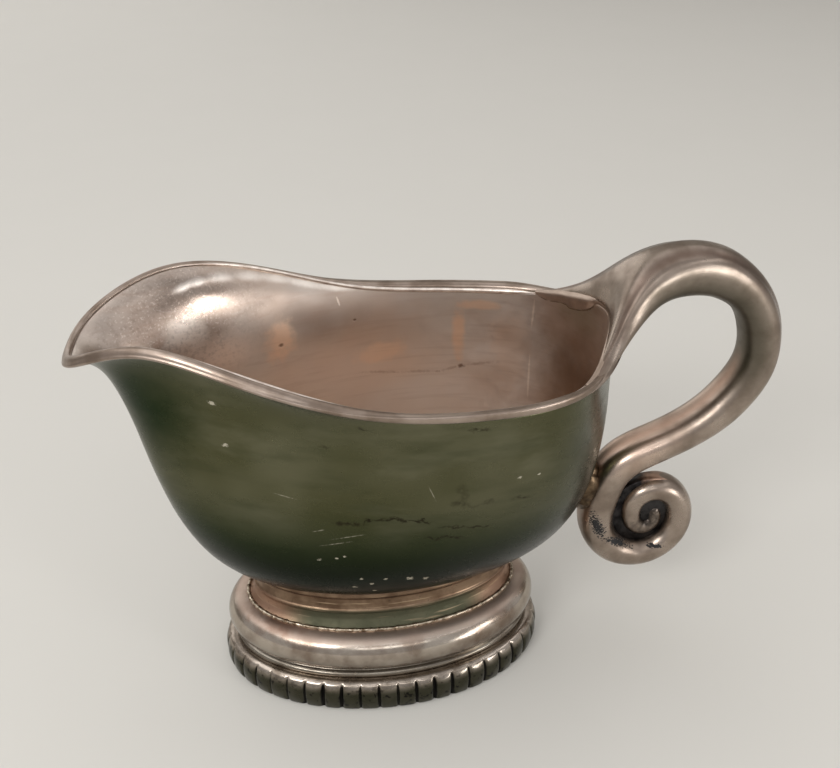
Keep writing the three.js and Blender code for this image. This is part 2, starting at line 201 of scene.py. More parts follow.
# %% The mouth and the side of the bowl
# Along, across and up, as shares of the mouth's length, its width and the rim's height.
RIM_SHARES = [
    [0.455, 0, 1.09], [0.41, 0.19, 1.055], [0.345, 0.405, 0.995], [0.165, 0.475, 1],
    [-0.04, 0.47, 1.01], [-0.238, 0.425, 1.105], [-0.392, 0.285, 1.175],
    [-0.53, 0.175, 1.075], [-0.547, 0, 1.035],
]
rim_half = np.array(RIM_SHARES) * [MOUTH_LENGTH, MOUTH_WIDTH, RIM_HEIGHT]
rim_controls = np.concatenate([rim_half, (rim_half[1:-1] * [1, -1, 1])[::-1]])
SEAT = {"along": 0.764, "across": 0.632}
FLANK = {"along": 0.478, "across": 0.415, "back": -0.003, "pinch": -0.12, "set_back": 0}
SHOULDER = {"along": 0.423, "across": 0.487, "back": 0.012, "pinch": 0.8, "set_back": 0.06}
FLANK_RISE, SHOULDER_RISE, SHOULDER_TILT = 0.085, 0.78, 0.215
LIP_COVER = 0.2
LIP_DROP = WIRE_RISE / 2 - LIP_COVER
STEP = 0.001
print("the mouth is led by", len(rim_controls), "stations")


def bowl_arc(turn):
    """The four controls of the side's arc at a turn round the mouth: seat, flank, shoulder, rim."""
    rim = spline(rim_controls, turn * len(rim_controls), True)
    c, s = np.cos(turn * TURN), np.sin(turn * TURN)
    height = rim[..., 2] - SEAT_HEIGHT
    frontness = ((1 - c) / 2) ** 2

    def oval(share, rise):
        x = share["back"] + share["along"] * c + share["set_back"] * frontness * s * s
        y = share["across"] * (1 - share["pinch"] * frontness) * s
        return np.stack([x * MOUTH_LENGTH, y * MOUTH_WIDTH, SEAT_HEIGHT + rise * height], -1)

    seat_x = SEAT["along"] * FOOT_LENGTH / 2 * c - FOOT_SHIFT
    seat = np.stack([seat_x, SEAT["across"] * FOOT_WIDTH / 2 * s, SEAT_HEIGHT + 0 * c], -1)
    return seat, oval(FLANK, FLANK_RISE), oval(SHOULDER, SHOULDER_RISE - SHOULDER_TILT * c), rim


def rim_frame(turn):
    """At a turn: the rim point and the unit directions up along the wall and out from it."""
    rim = bowl_arc(turn)[3]
    upward = unit(rim - bowl_arc(turn)[2])
    along = bowl_arc((turn + STEP) % 1)[3] - bowl_arc((turn - STEP) % 1)[3]
    return rim, upward, unit(np.cross(along, upward))


def bowl_side(turn, v):
    """The outside at a turn and a rise v: a cubic Bezier arc from the seat to the lip."""
    seat, flank, shoulder, rim = bowl_arc(turn % 1)
    edge = rim - LIP_DROP * unit(rim - shoulder)
    v = v[..., None]
    lower = (1 - v) ** 3 * seat + 3 * v * (1 - v) ** 2 * flank
    return lower + 3 * v * v * (1 - v) * shoulder + v**3 * edge


def bowl_normal(turn, v):
    """Out of the wall: the cross product of a small step round it and a small step up it."""
    low, high = np.clip(v - STEP, 0, 1), np.clip(v + STEP, 0, 1)
    round_it = bowl_side(turn + STEP, v) - bowl_side(turn - STEP, v)
    return unit(np.cross(round_it, bowl_side(turn, high) - bowl_side(turn, low)))

# %% The shell of the bowl
HAMMER = 0.05
ROUND_BOWL, UP_BOWL, LIP_ROWS, FLOOR_ROWS = 340, 84, 5, 12


def hammered(turn, v):
    """Faint waves of the raised sheet: two crossed pairs of sines that fade at the lip."""
    waves = np.sin(TURN * (7 * turn + 1.3 * v)) * np.sin(TURN * (2.2 * v + 0.2))
    waves += 0.6 * np.sin(TURN * (13 * turn - 1.7 * v + 0.4)) * np.sin(TURN * (3.1 * v + 0.6))
    return HAMMER * waves * smooth_step(1, 0.85, v)


def floor_rings(edge, out):
    """The sunk floor: the lowest ring drawn in to the middle, with a parabola's sag."""
    middle = np.array([-FOOT_SHIFT, 0, SEAT_HEIGHT - FLOOR_DISH - out])
    share = (np.arange(1, FLOOR_ROWS) / FLOOR_ROWS)[:, None, None]
    rings = middle + (edge - middle) * share
    rings[..., 2:] -= FLOOR_DISH * (share - share**2)
    return rings, middle


turns, rises = np.meshgrid(np.arange(ROUND_BOWL) / ROUND_BOWL, np.linspace(0, 1, UP_BOWL))
side, outward = bowl_side(turns, rises), bowl_normal(turns, rises)
wave = hammered(turns, rises)[..., None]
outside, inside = side + outward * wave, side + outward * (wave - WALL)
lip_share = (np.arange(1, LIP_ROWS) / LIP_ROWS)[:, None, None]
lip = outside[-1] + (inside[-1] - outside[-1]) * lip_share
outer_floor, outer_middle = floor_rings(outside[0], 0)
inner_floor, inner_middle = floor_rings(inside[0], -WALL)
bowl_rings = np.concatenate([outer_floor, outside, lip, inside[::-1], inner_floor[::-1]])
inner_rows = UP_BOWL + len(inner_floor)
is_inner = np.arange(len(bowl_rings)) >= len(bowl_rings) - inner_rows
inner_mark = np.repeat(is_inner.astype(float), ROUND_BOWL)
bowl = make_piece("bowl_shell", bowl_rings, [outer_middle, inner_middle], {"inner": inner_mark})
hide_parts("bowl")

# %% [markdown]
# ## The rim wire
#
# A half-round wire is soldered on the edge of the sheet, to stiffen it and hide the raw edge.
# Its section is a round bead outside, a small groove, and a flat band that slopes in to the wall.
# The section is a closed spline carried along the mouth. Its ends are filed down to a scarf that
# runs in under the tongues of the handle.

# %% Rim wire
TONGUE_TURN, SCARF_TURN = 1 / 8, 0.085
SINK_TURN, MEET_TURN = TONGUE_TURN + 0.02, TONGUE_TURN + 0.06
MEET_OUT, SINK_OUT, SINK_DOWN, SINK_SLIM = 0.35, 0.8, 0.45, 0.4
RIM_ROWS, RIM_SIDES = 560, 48
# Out and up, as shares of half the wire's width and rise.
RIM_SECTION = [
    [0.15, -0.98], [0.6, -0.93], [0.95, -0.6], [1.02, 0], [1.0, 0.5], [0.86, 0.92],
    [0.6, 1.04], [0.38, 0.86], [0.18, 0.84], [-0.1, 0.82], [-0.46, 0.66], [-0.8, 0.4],
    [-1.0, 0.02], [-1.04, -0.45], [-0.85, -0.9], [-0.4, -1.0],
]
section_places = np.arange(RIM_SIDES) / RIM_SIDES * len(RIM_SECTION)
section = spline(RIM_SECTION, section_places, True) * [WIRE_WIDTH / 2, WIRE_RISE / 2]
places = np.linspace(SCARF_TURN, 1 - SCARF_TURN, RIM_ROWS)
rim, upward, rim_out = rim_frame(places)
from_back = np.minimum(places, 1 - places)
sunk = smooth_step(SINK_TURN, SCARF_TURN, from_back)[:, None]
meeting = smooth_step(MEET_TURN, TONGUE_TURN, from_back)[:, None]
centre = rim - rim_out * (WALL / 2 - MEET_OUT * meeting - SINK_OUT * sunk)
centre = centre - upward * sunk * WIRE_RISE * SINK_DOWN
slim = (1 - SINK_SLIM * sunk)[..., None] * section
rim_rings = carried(centre, rim_out, upward, slim)[:, ::-1]
rim_wire = make_piece("rim_bead", rim_rings, [centre[0], centre[-1]])
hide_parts("rim_wire")

# %% [markdown]
# The corner between the wire and the wall is filled with solder, wiped to a thin round fillet.
# It draws the bright line under the far rim, with its near-white tone, which is a painted
# highlight. A thin tube, mostly sunk in the wall, does it, and it dies out towards the spout,
# where the wire and the wall were filed into one.

# %% Solder fillet under the wire
FILLET_RADIUS, FILLET_SIDES, FILLET_ROWS = 0.75, 16, 480
FILLET_TURN, FILLET_IN, FILLET_DOWN = 0.112, 0.12, 1.12
FILLET_START, FILLET_STOP, FILLET_LEAST = (0.11, 0.14), (0.38, 0.3), 0.02
fillet_turn = np.linspace(FILLET_TURN, 1 - FILLET_TURN, FILLET_ROWS)
fillet_rim, fillet_up, fillet_out = rim_frame(fillet_turn)
from_end = np.minimum(fillet_turn, 1 - fillet_turn)
radius = FILLET_RADIUS * smooth_step(*FILLET_STOP, from_end)
radius = radius * smooth_step(*FILLET_START, from_end) + FILLET_LEAST
fillet_centre = fillet_rim - fillet_out * (WALL + FILLET_IN) - fillet_up * FILLET_DOWN
around = np.arange(FILLET_SIDES) / FILLET_SIDES * TURN
circle = np.stack([np.cos(around), np.sin(around)], -1) * radius[:, None, None]
fillet_rings = carried(fillet_centre, fillet_out, fillet_up, circle)[:, ::-1]
fillet = make_piece("rim_fillet", fillet_rings, [fillet_centre[0], fillet_centre[-1]])

# %% [markdown]
# ## The foot
#
# Three rings are soldered into one foot: a hollowed collar, a bold half-round moulding and
# a border filed with upright notches. Each is a profile carried round an ellipse. The profile
# runs straight from station to station, and averaging neighbours then rounds its corners.

# %% Profiles carried round an ellipse
FOOT_COLUMNS = 360


def on_oval(inset, height, turn):
    """Points at a turn and a height on the ellipse that is smaller than the foot by the inset."""
    x = (FOOT_LENGTH / 2 - inset) * np.cos(turn * TURN) - FOOT_SHIFT
    y = (FOOT_WIDTH / 2 - inset) * np.sin(turn * TURN)
    return np.stack([x, y, height + 0 * x], -1)


def drawn(corners, steps, softness):
    """A closed profile through its corners: each side is cut into equal steps, and then each
    point is averaged with its neighbours a few times, which rounds the corners."""
    c = np.asarray(corners, float)
    following = np.roll(c, -1, axis=0)
    t = (np.arange(steps) / steps)[:, None]
    line = (c[:, None] * (1 - t) + following[:, None] * t).reshape(-1, 2)
    for _ in range(softness):
        line = (np.roll(line, 1, axis=0) + 2 * line + np.roll(line, -1, axis=0)) / 4
    return line


even_turns = np.arange(FOOT_COLUMNS) / FOOT_COLUMNS

# Each foot profile is inset and height, as shares of the ring's depth and height.
COLLAR_PROFILE = [
    [-0.12, -0.03], [0.25, 0.07], [0.52, 0.18], [0.62, 0.3], [0.62, 0.36], [0.46, 0.4],
    [0.46, 0.46], [0.62, 0.5], [0.72, 0.62], [0.8, 0.78], [0.6, 0.86], [0.6, 0.91],
    [0.76, 1.03], [1.3, 0.95], [1.3, 0],
]
collar_line = drawn(COLLAR_PROFILE, 6, 3) * [COLLAR_DEPTH, COLLAR_HEIGHT]
collar_line += [COLLAR_INSET, COLLAR_FOOT]
collar = make_piece("collar_ring", on_oval(collar_line[:, :1], collar_line[:, 1:], even_turns))
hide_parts("foot_collar")

# %% The half-round moulding
MOULDING_PROFILE = [
    [0, -0.03], [0, 0.07], [0.08, 0.1], [0.17, 0.13], [0.12, 0.17], [0.0, 0.22],
    [-0.1, 0.3], [-0.17, 0.4], [-0.2, 0.5], [-0.195, 0.6], [-0.16, 0.7], [-0.08, 0.8],
    [0.03, 0.88], [0.18, 0.945], [0.37, 0.985], [0.57, 1], [1, 1], [1, 0.88], [0.6, 0.87],
    [0.28, 0.79], [0.07, 0.66], [0.01, 0.52], [0.06, 0.36], [0.33, 0.14], [0.24, 0],
]
moulding_line = drawn(MOULDING_PROFILE, 4, 3) * [MOULDING_DEPTH, MOULDING_HEIGHT]
moulding_line += [MOULDING_INSET, MOULDING_FOOT]
moulding_rings = on_oval(moulding_line[:, :1], moulding_line[:, 1:], even_turns)
moulding = make_piece("half_round", moulding_rings)
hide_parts("foot_moulding")

# %% [markdown]
# The notches of the border keep their pitch round the tight ends of the oval, so they can't
# be at even turns. The outline's length is added up first, and the notches then divide that
# length. Each notch is a narrow bell curve cut into the side, a little different from the
# next one, because they were filed by hand.

# %% The notched border
BORDER_PROFILE = [
    [0.17, 0], [0.08, 0.06], [0.03, 0.2], [0.0, 0.35], [0.0, 0.5], [0.02, 0.66],
    [0.07, 0.8], [0.15, 0.91], [0.26, 0.97], [0.4, 1], [0.7, 1], [1, 1], [1, 0.5], [1, 0],
    [0.6, 0],
]
NOTCH_STEPS, NOTCH_WIDTH, NOTCH_DEPTH = 26, 0.36, 0.85
fine = np.linspace(0, 1, 4001)
outline = np.column_stack([np.cos(fine * TURN), np.sin(fine * TURN)])
outline *= [FOOT_LENGTH / 2, FOOT_WIDTH / 2]
run = np.append(0, np.cumsum(np.linalg.norm(np.diff(outline, axis=0), axis=1)))
columns = NOTCH_COUNT * NOTCH_STEPS
pitch_place = np.arange(columns) / NOTCH_STEPS
by_length = np.interp(pitch_place / NOTCH_COUNT * run[-1], run, fine)
pitch = run[-1] / NOTCH_COUNT
nearest = np.round(pitch_place)
# The far digits of a sine look random, so each notch gets its own size and lean.
hand = np.sin(nearest * 12.9898) * 43758.5453 % 1
sway = np.sin(nearest * 78.233) * 12543.123 % 1 - 0.5
border_line = drawn(BORDER_PROFILE, 4, 2)
rise = border_line[:, 1:]
distance = (pitch_place - nearest) * pitch + 0.5 * sway * (rise - 0.5)
width = NOTCH_WIDTH * (0.75 + 0.6 * hand) * (1.35 - 0.55 * rise)
rounded = border_line[:, :1] < 0.35
cut = np.exp(-np.abs(distance / width) ** 1.6) * smooth_step(0.99, 0.8, rise) * rounded
cut *= NOTCH_DEPTH * (0.7 + 0.5 * hand) * smooth_step(-0.08, 0.12, rise)
swell = 0.09 * np.cos(np.pi * np.clip(np.abs(pitch_place - nearest) * 2 - 1, -1, 1)) - 0.09
bulging = smooth_step(1, 0.7, rise) * smooth_step(0, 0.4, rise) * rounded
inset = border_line[:, :1] * BORDER_DEPTH + cut - swell * bulging
border_rings = on_oval(inset, rise * BORDER_HEIGHT, by_length)
border = make_piece("notched_border", border_rings, marks={"notch": cut / NOTCH_DEPTH})
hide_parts("foot_border")
print("pitch of the notches", round(pitch, 2), "mm")

# %% [markdown]
# ## The handle
#
# It is one casting. Two tongues lie on the rim like a horseshoe and gather into a bar, which
# loops over, swings back in an S and rolls up into a scroll. A middle line with a thickness and
# a width at each place is a B-spline, and a section is carried along it. Creases are pressed
# into the section afterwards: two run from the rim over the loop, one lies in the S.

# %% The handle's middle surface
# Reach, height, half thickness and half width, as shares of the handle's own sizes.
LOOP = [
    [0, 1.045, 0.48, 2.7], [0.01, 1.07, 0.47, 2.1], [0.1, 1.12, 0.63, 1.3],
    [0.215, 1.185, 1, 1.1], [0.415, 1.19, 1.26, 1.1], [0.65, 1.16, 1.14, 1.02],
    [0.86, 1.095, 0.94, 1.02], [0.965, 0.995, 0.97, 1], [0.99, 0.875, 0.925, 0.98],
    [0.83, 0.765, 0.95, 1], [0.67, 0.7, 0.88, 1], [0.44, 0.645, 0.86, 0.98],
    [0.13, 0.595, 0.91, 0.98],
]
# Turn round the scroll's middle and distance from it, as a share of its radius.
SCROLL = [
    [0.4, 1.14], [0.52, 1.08], [0.64, 1.06], [0.76, 0.95], [0.88, 0.78], [1, 0.66],
    [1.12, 0.66], [1.24, 0.64], [1.36, 0.5], [1.48, 0.34], [1.6, 0.34], [1.72, 0.36],
    [1.86, 0.28], [2.02, 0.14],
]
PAD_PLACE, SCROLL_OUT, SCROLL_DOWN = 0.515, 1.365, 0.773
ROOT_SPANS, TONGUE_HOLD, TONGUE_THIN = 5, 0.7, 0.5
rises = np.linspace(0, 1, 2001)
back_line = bowl_side(np.zeros_like(rises), rises)
pad_height = PAD_PLACE * RIM_HEIGHT
pad_x = np.interp(pad_height, back_line[:, 2], back_line[:, 0])
scroll_x, scroll_z = pad_x + SCROLL_OUT * SCROLL_RADIUS, pad_height - SCROLL_DOWN * SCROLL_RADIUS
rim_back = bowl_arc(np.zeros(1))[3][0]
loop = np.array(LOOP) * [HANDLE_REACH, RIM_HEIGHT, BAR_THICKNESS / 2, BAR_WIDTH / 2]
loop[:, 0] += rim_back[0]
turn, out = np.array(SCROLL).T
slim = np.linspace(0.9, 0.42, len(SCROLL))
out = out * SCROLL_RADIUS
x, z = scroll_x + out * np.cos(turn * TURN), scroll_z + out * np.sin(turn * TURN)
narrow = slim * slim * (3 - 2 * slim)
scroll = np.column_stack([x, z, slim * BAR_THICKNESS / 2, narrow * BAR_WIDTH / 2])
handle_controls = np.concatenate([loop, scroll])
HANDLE_END = len(handle_controls) - 1
print("the scroll turns round x =", round(scroll_x, 2), "and z =", round(scroll_z, 2), "mm")


def middle_surface(place, across):
    """The casting's middle: a flat strap on the B-spline, and at the root a mix of that strap with
    the lip of the bowl, where the share of the lip falls off over the first spans."""
    x, z, half_thick, half_wide = np.moveaxis(spline(handle_controls, place, False), -1, 0)
    strap = np.stack([x, across * half_wide, z], -1)
    share = np.clip(place / ROOT_SPANS, 0, 1)
    rim, upward, _ = rim_frame((across * TONGUE_TURN * (1 - TONGUE_HOLD * share)) % 1)
    thinning = 1 - TONGUE_THIN * across**2 * (1 - share)
    mix = smooth_step(0, 1, share)
    overhang = (half_thick * thinning - WALL) * (1 - mix)
    ahead = unit(np.stack([1 + 0 * across, across, 0 * across], -1))
    drop = WIRE_RISE / 2 * (1 - share) ** 3
    lip = rim - drop[..., None] * upward + overhang[..., None] * ahead
    return lip * (1 - mix[..., None]) + strap * mix[..., None]

# %% The creases and the section of the handle
CREASE_DEPTH, CREASE_SPREAD, CHANNEL_DEPTH, CHANNEL_SPREAD = 0.5, 0.2, 0.6, 0.34
# Places along the handle between which a crease comes or goes.
CREASE_WIDENS, CREASE_ENDS = (1.5, 3.5), (9.5, 7)
CHANNEL_STARTS, CHANNEL_ENDS = (7.2, 9), (14.5, 12.5)
ROOT_SQUARE, SQUARE_LOSS = 4, 1.7
CREASE_PLACES = [0, 1.5, 2.1, 2.7, 3.1, 3.5, 3.9, 4.3, 4.9]
CREASE_SHARES = [0.9, 0.9, 0.88, 0.8, 0.7, 0.58, 0.52, 0.56, 0.6]


def creases(place, across, facing, part=None):
    """How far the skin is pressed in. On the face that looks up out of the bowl two narrow
    creases run at a share of the width, along the edge at the root and half way in on the loop.
    On the other face one soft channel lies along the S."""
    line = np.interp(place, CREASE_PLACES, CREASE_SHARES)
    spread = CREASE_SPREAD * (0.5 + 0.5 * smooth_step(*CREASE_WIDENS, place))
    pair = bump(np.abs(across), line, spread) * smooth_step(*CREASE_ENDS, place)
    top = CREASE_DEPTH * pair * (facing > 0)
    s_part = smooth_step(*CHANNEL_STARTS, place) * smooth_step(*CHANNEL_ENDS, place)
    channel = CHANNEL_DEPTH * bump(across, 0, CHANNEL_SPREAD) * s_part * (facing < 0)
    shares = {"top": top / CREASE_DEPTH, "channel": channel / CHANNEL_DEPTH}
    return shares.get(part, top + channel)


def handle_section(place, angle):
    """Points of the skin: a superellipse about the middle surface, oblong at the root and
    nearly round along the bar, less the creases."""
    across, facing = np.sin(angle), np.cos(angle)
    half_thick = spline(handle_controls, place, False)[..., 2]
    share = np.clip(place / ROOT_SPANS, 0, 1)
    square = ROOT_SQUARE - SQUARE_LOSS * share
    low, high = np.clip(place - 0.01, 0, HANDLE_END), np.clip(place + 0.01, 0, HANDLE_END)
    rise = middle_surface(high, across) - middle_surface(low, across)
    left, right = np.clip(across - 0.01, -1, 1), np.clip(across + 0.01, -1, 1)
    side = middle_surface(place, right) - middle_surface(place, left)
    normal = unit(np.cross(side, rise))
    full = (1 - np.abs(across) ** square) ** (1 / square)
    thick = full * half_thick * (1 - TONGUE_THIN * across**2 * (1 - share))
    thick = thick - creases(place, across, -facing) * full
    return middle_surface(place, across) + normal * (np.sign(facing) * thick)[..., None]

# %% The handle's casting
HANDLE_SIDES, HANDLE_ROWS = 96, 560
angles = (np.arange(HANDLE_SIDES) + 0.5) / HANDLE_SIDES * TURN
places = np.linspace(0, HANDLE_END, HANDLE_ROWS)
place_grid, angle_grid = np.meshgrid(places, angles, indexing="ij")
handle_rings = handle_section(place_grid, angle_grid)
tip = middle_surface(np.array([HANDLE_END * 1.0]), np.zeros(1))[0]
inner_skin = smooth_step(-0.7, 0.5, np.cos(angle_grid)) * smooth_step(2.2, 3.4, place_grid)
# This mark darkens the loop's inner face: a painted reflection of a dark surface below.
loop_inside_reflection = inner_skin * smooth_step(9.5, 7.5, place_grid)
marks = {"loop_inside_reflection": loop_inside_reflection}
for part in ("top", "channel"):
    marks[part] = creases(place_grid, np.sin(angle_grid), -np.cos(angle_grid), part)
handle = make_piece("scroll_handle", handle_rings, [tip], marks)
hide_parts("handle")

# %% The eye of the scroll
def ball(rows, columns, cap):
    """The angles up and round a ball, and its rings of radius 1 between two small open caps."""
    up, round_it = np.linspace(cap, 1 - cap, rows) * np.pi, np.arange(columns) / columns * TURN
    up, round_it = np.meshgrid(up, round_it, indexing="ij")
    rings = [np.sin(up) * np.cos(round_it), np.sin(up) * np.sin(round_it), -np.cos(up)]
    return up, round_it, np.stack(rings, -1)


EYE_SHARES = [0.215, 0.195, 0.215]
eye_radii = np.array(EYE_SHARES) * [BAR_THICKNESS, BAR_WIDTH, BAR_THICKNESS]
POLES = np.array([[0, 0, -1], [0, 0, 1]])
eye_rings = tip + ball(24, 32, 0.06)[2] * eye_radii
scroll_eye = make_piece("scroll_eye", eye_rings, tip + POLES * eye_radii)

# %% [markdown]
# ### The lap inside the mouth
#
# The root of the casting is let down over the lip, and inside the back of the mouth its thin edge
# was smoothed on the wall with solder. Its lower edge is uneven, lowest half way along the far
# tongue.
# It could be carved, but one small section, carried along the lip, keeps it smooth and closed.

# %% Lap of the casting inside the mouth
# Turn from the middle of the back, and how deep the lap's lower edge hangs there.
LAP_DEPTHS = [
    (-0.114, 0.4), (-0.1, 0.9), (-0.07, 1.0), (-0.04, 0.8), (-0.02, 0.5), (0.024, 0.5),
    (0.031, 1.1), (0.036, 2.2), (0.041, 3.0), (0.052, 3.6), (0.06, 3.7), (0.0685, 3.5),
    (0.073, 2.7), (0.079, 2.3), (0.097, 2.1), (0.109, 0.9), (0.114, 0.4),
]
# Share of that depth, millimetres more, and lift off the wall.
LAP_SECTION = [
    (1, 0, -0.15), (0.97, 0, 0.1), (0.88, 0, 0.22), (0.5, 0, 0.6), (0, 0.2, 0.95),
    (0, -0.4, 0.7), (0, -0.9, 0.1), (0, -1.4, -0.8), (0, -1.8, -1.8), (0, -1.6, -3),
    (0, 0, -1), (0.5, 0, -0.7), (0.95, 0, -0.7),
]
LAP_ROWS, LAP_END = 220, 0.113
LAP_RIPPLE, RIPPLE_PITCH = 0.06, 260


def on_wall(turn, depth, lift):
    """A point of the bowl's inner face: this deep below the lip, and lifted into the mouth. Above
    the lip it goes straight on upward."""
    controls = bowl_arc(turn % 1)
    run = 3 * np.linalg.norm(controls[3] - controls[2], axis=-1)
    v = np.minimum(1 - depth / run, 1)
    over = np.maximum(-depth, 0)[..., None] * unit(controls[3] - controls[2])
    return bowl_side(turn, v) + over - bowl_normal(turn, v) * np.expand_dims(WALL + lift, -1)


lap_turn = np.linspace(-LAP_END, LAP_END, LAP_ROWS)
lap_depth = np.interp(lap_turn, *np.array(LAP_DEPTHS).T)
for _ in range(3):
    lap_depth[1:-1] = (lap_depth[:-2] + 2 * lap_depth[1:-1] + lap_depth[2:]) / 4
lap_depth += LAP_RIPPLE * np.sin(lap_turn * RIPPLE_PITCH) * smooth_step(0.6, 1.5, lap_depth)
full = 0.35 + 0.65 * smooth_step(0.112, 0.06, np.abs(lap_turn))
stout = 0.15 + 0.85 * smooth_step(0.4, 3.2, lap_depth)
lap_line = []
for deep, more, lift in LAP_SECTION:
    lift = lift * full * (stout if lift > 0 else 1)
    lap_line.append(on_wall(lap_turn, lap_depth * deep + more * full, lift))
lap_rings = np.stack(lap_line, 1)
lap = make_piece("root_lap", lap_rings, [lap_rings[0].mean(0), lap_rings[-1].mean(0)])

# %% [markdown]
# Outside, the casting overhangs the wall by a few millimetres, and solder was run into the corner
# below it. The hollow slope of that fillet is carried along the back of the bowl.

# %% Fillet below the root, outside
# Depth below the lip, and lift as a share of the overhang, or in millimetres where it is sunk.
UNDER_SECTION = [
    (4.2, -0.1), (3.1, 0.12), (2.1, 0.34), (1.2, 0.62), (0.5, 0.92), (-0.3, 0.9), (-0.3, -0.2),
    (2, -0.4), (4, -0.3),
]
UNDER_END, UNDER_ROWS = 0.115, 120
under_turn = np.linspace(-UNDER_END, UNDER_END, UNDER_ROWS)
across = under_turn / TONGUE_TURN
root_thick = loop[0, 2] * (1 - TONGUE_THIN * across**2)
overhang = root_thick - WALL + root_thick * (1 - across**4) ** 0.25
overhang = overhang * smooth_step(0.118, 0.094, np.abs(under_turn))
shallow = 0.1 + 0.9 * smooth_step(0.116, 0.076, np.abs(under_turn))
under_line = []
for deep, share in UNDER_SECTION:
    depth = deep * (shallow if deep > 0 else 1 + 0 * shallow)
    lift = share * (overhang if share > 0 else 1 + 0 * overhang)
    # A lift of minus the wall's thickness is the outer face.
    under_line.append(on_wall(under_turn, depth, -WALL - lift))
under_rings = np.stack(under_line[::-1], 1)
under_poles = [under_rings[0].mean(0), under_rings[-1].mean(0)]
under_root = make_piece("root_fillet", under_rings, under_poles)

# %% [markdown]
# ## Solder
#
# Hard solder holds the scroll to the back of the bowl. It ran into the seam and froze in lumps.
# A ball stretched to an oval and pushed in and out by a few waves gives that. The same lumpy bead,
# drawn thin, lies where the collar meets the moulding.

# %% Solder at the scroll and round the collar
def lumps(a, b, seed):
    """A sum of five waves with fixed odd pitches, between about -1 and 1."""
    total = 0
    for k in range(5):
        wave = np.sin(a * (3 + 2.3 * k) + b * (2 + 1.7 * k) + seed * (k + 1) * 1.9)
        total = total + wave / (1 + 0.6 * k)
    return total / 2.4


PAD_SHARES, PAD_LUMPS, WALL_BEND = [0.5, 0.42, 0.085], 0.07, 0.028
latitude, longitude, pad_ball = ball(48, 64, 0.03)
size = 1 + PAD_LUMPS * lumps(2 * latitude, longitude.round(9), 3) * np.sin(latitude)
pad_radii = np.array(PAD_SHARES) * [BAR_THICKNESS, BAR_WIDTH, RIM_HEIGHT]
pad_middle = np.array([pad_x + SOLDER_SEAM, 0, pad_height])


def kept_out(points):
    """Points that would come through the wall stop half way in it. The wall's outside bends back
    by a parabola across the jug."""
    wall_x = np.interp(points[..., 2], back_line[:, 2], back_line[:, 0])
    stop = wall_x - WALL_BEND * points[..., 1] ** 2 - WALL / 2
    return np.stack([np.maximum(points[..., 0], stop), points[..., 1], points[..., 2]], -1)


pad_rings = kept_out(pad_ball * size[..., None] * pad_radii + pad_middle)
pad = make_piece("solder_pad", pad_rings, kept_out(pad_middle + POLES * pad_radii))
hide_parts("handle_solder")

SEAM_COLUMNS, SEAM_SIDES, SEAM_RADIUS, SEAM_LUMPS, SEAM_OUT = 720, 12, 0.5, 0.16, 0.45
seam_turn = np.arange(SEAM_COLUMNS) / SEAM_COLUMNS
seam_side = np.arange(SEAM_SIDES) / SEAM_SIDES * TURN
seam_waves = lumps(seam_turn * TURN * 9, seam_turn * TURN * 14, 1)
seam_size = SEAM_RADIUS + SEAM_LUMPS * seam_waves[:, None]
seam_inset = COLLAR_INSET - SEAM_OUT - seam_size * np.cos(seam_side)
seam_height = COLLAR_FOOT - GAP / 2 + seam_size * np.sin(seam_side)
seam_rings = on_oval(seam_inset, seam_height, seam_turn[:, None])
seam = make_piece("collar_seam", seam_rings[:, ::-1])

# %% [markdown]
# The scroll is cast solid, so its grooves have a floor. A plain disc inside the turns is that
# floor, and its edge is hidden in the outer turn.

# %% Web of the scroll
# Millimetres to the side, and radius as a share of the scroll's.
WEB_SECTION, WEB_SIDES = [(-1.9, 0.8), (-1.7, 0.82), (1.7, 0.82), (1.9, 0.8)], 96
web_turn = np.arange(WEB_SIDES) / WEB_SIDES * TURN
web_centre = np.array([scroll_x, 0, scroll_z])
web_round = np.stack([np.cos(web_turn), 0 * web_turn, np.sin(web_turn)], -1) * SCROLL_RADIUS
web_rings = [web_centre + [0, depth, 0] + radius * web_round[::-1] for depth, radius in WEB_SECTION]
web_poles = [web_centre + [0, WEB_SECTION[k][0], 0] for k in (0, -1)]
web = make_piece("scroll_web", np.array(web_rings), web_poles)

# %% [markdown]
# ## Finishes
#
# A finish is a recipe of nodes. To read like a formula, a number that varies over the surface
# is wrapped in a small class whose sums add Math nodes. One method adds every other node. All
# patterns read the piece's own coordinates, so they stay on the metal from any side.

# %% Writing a finish as sums
class Varying:
    """A number or colour that changes over a surface. Each sum of two adds a Math node."""

    def __init__(self, finish, socket):
        self.finish, self.socket = finish, socket

    def math(self, operation, first, second):
        return self.finish.add("Math", {"operation": operation}, {0: first, 1: second})

    def __add__(self, other):
        return self.math("ADD", self, other)

    def __sub__(self, other):
        return self.math("SUBTRACT", self, other)

    def __rsub__(self, other):
        return self.math("SUBTRACT", other, self)

    def __mul__(self, other):
        return self.math("MULTIPLY", self, other)

    __radd__, __rmul__ = __add__, __mul__

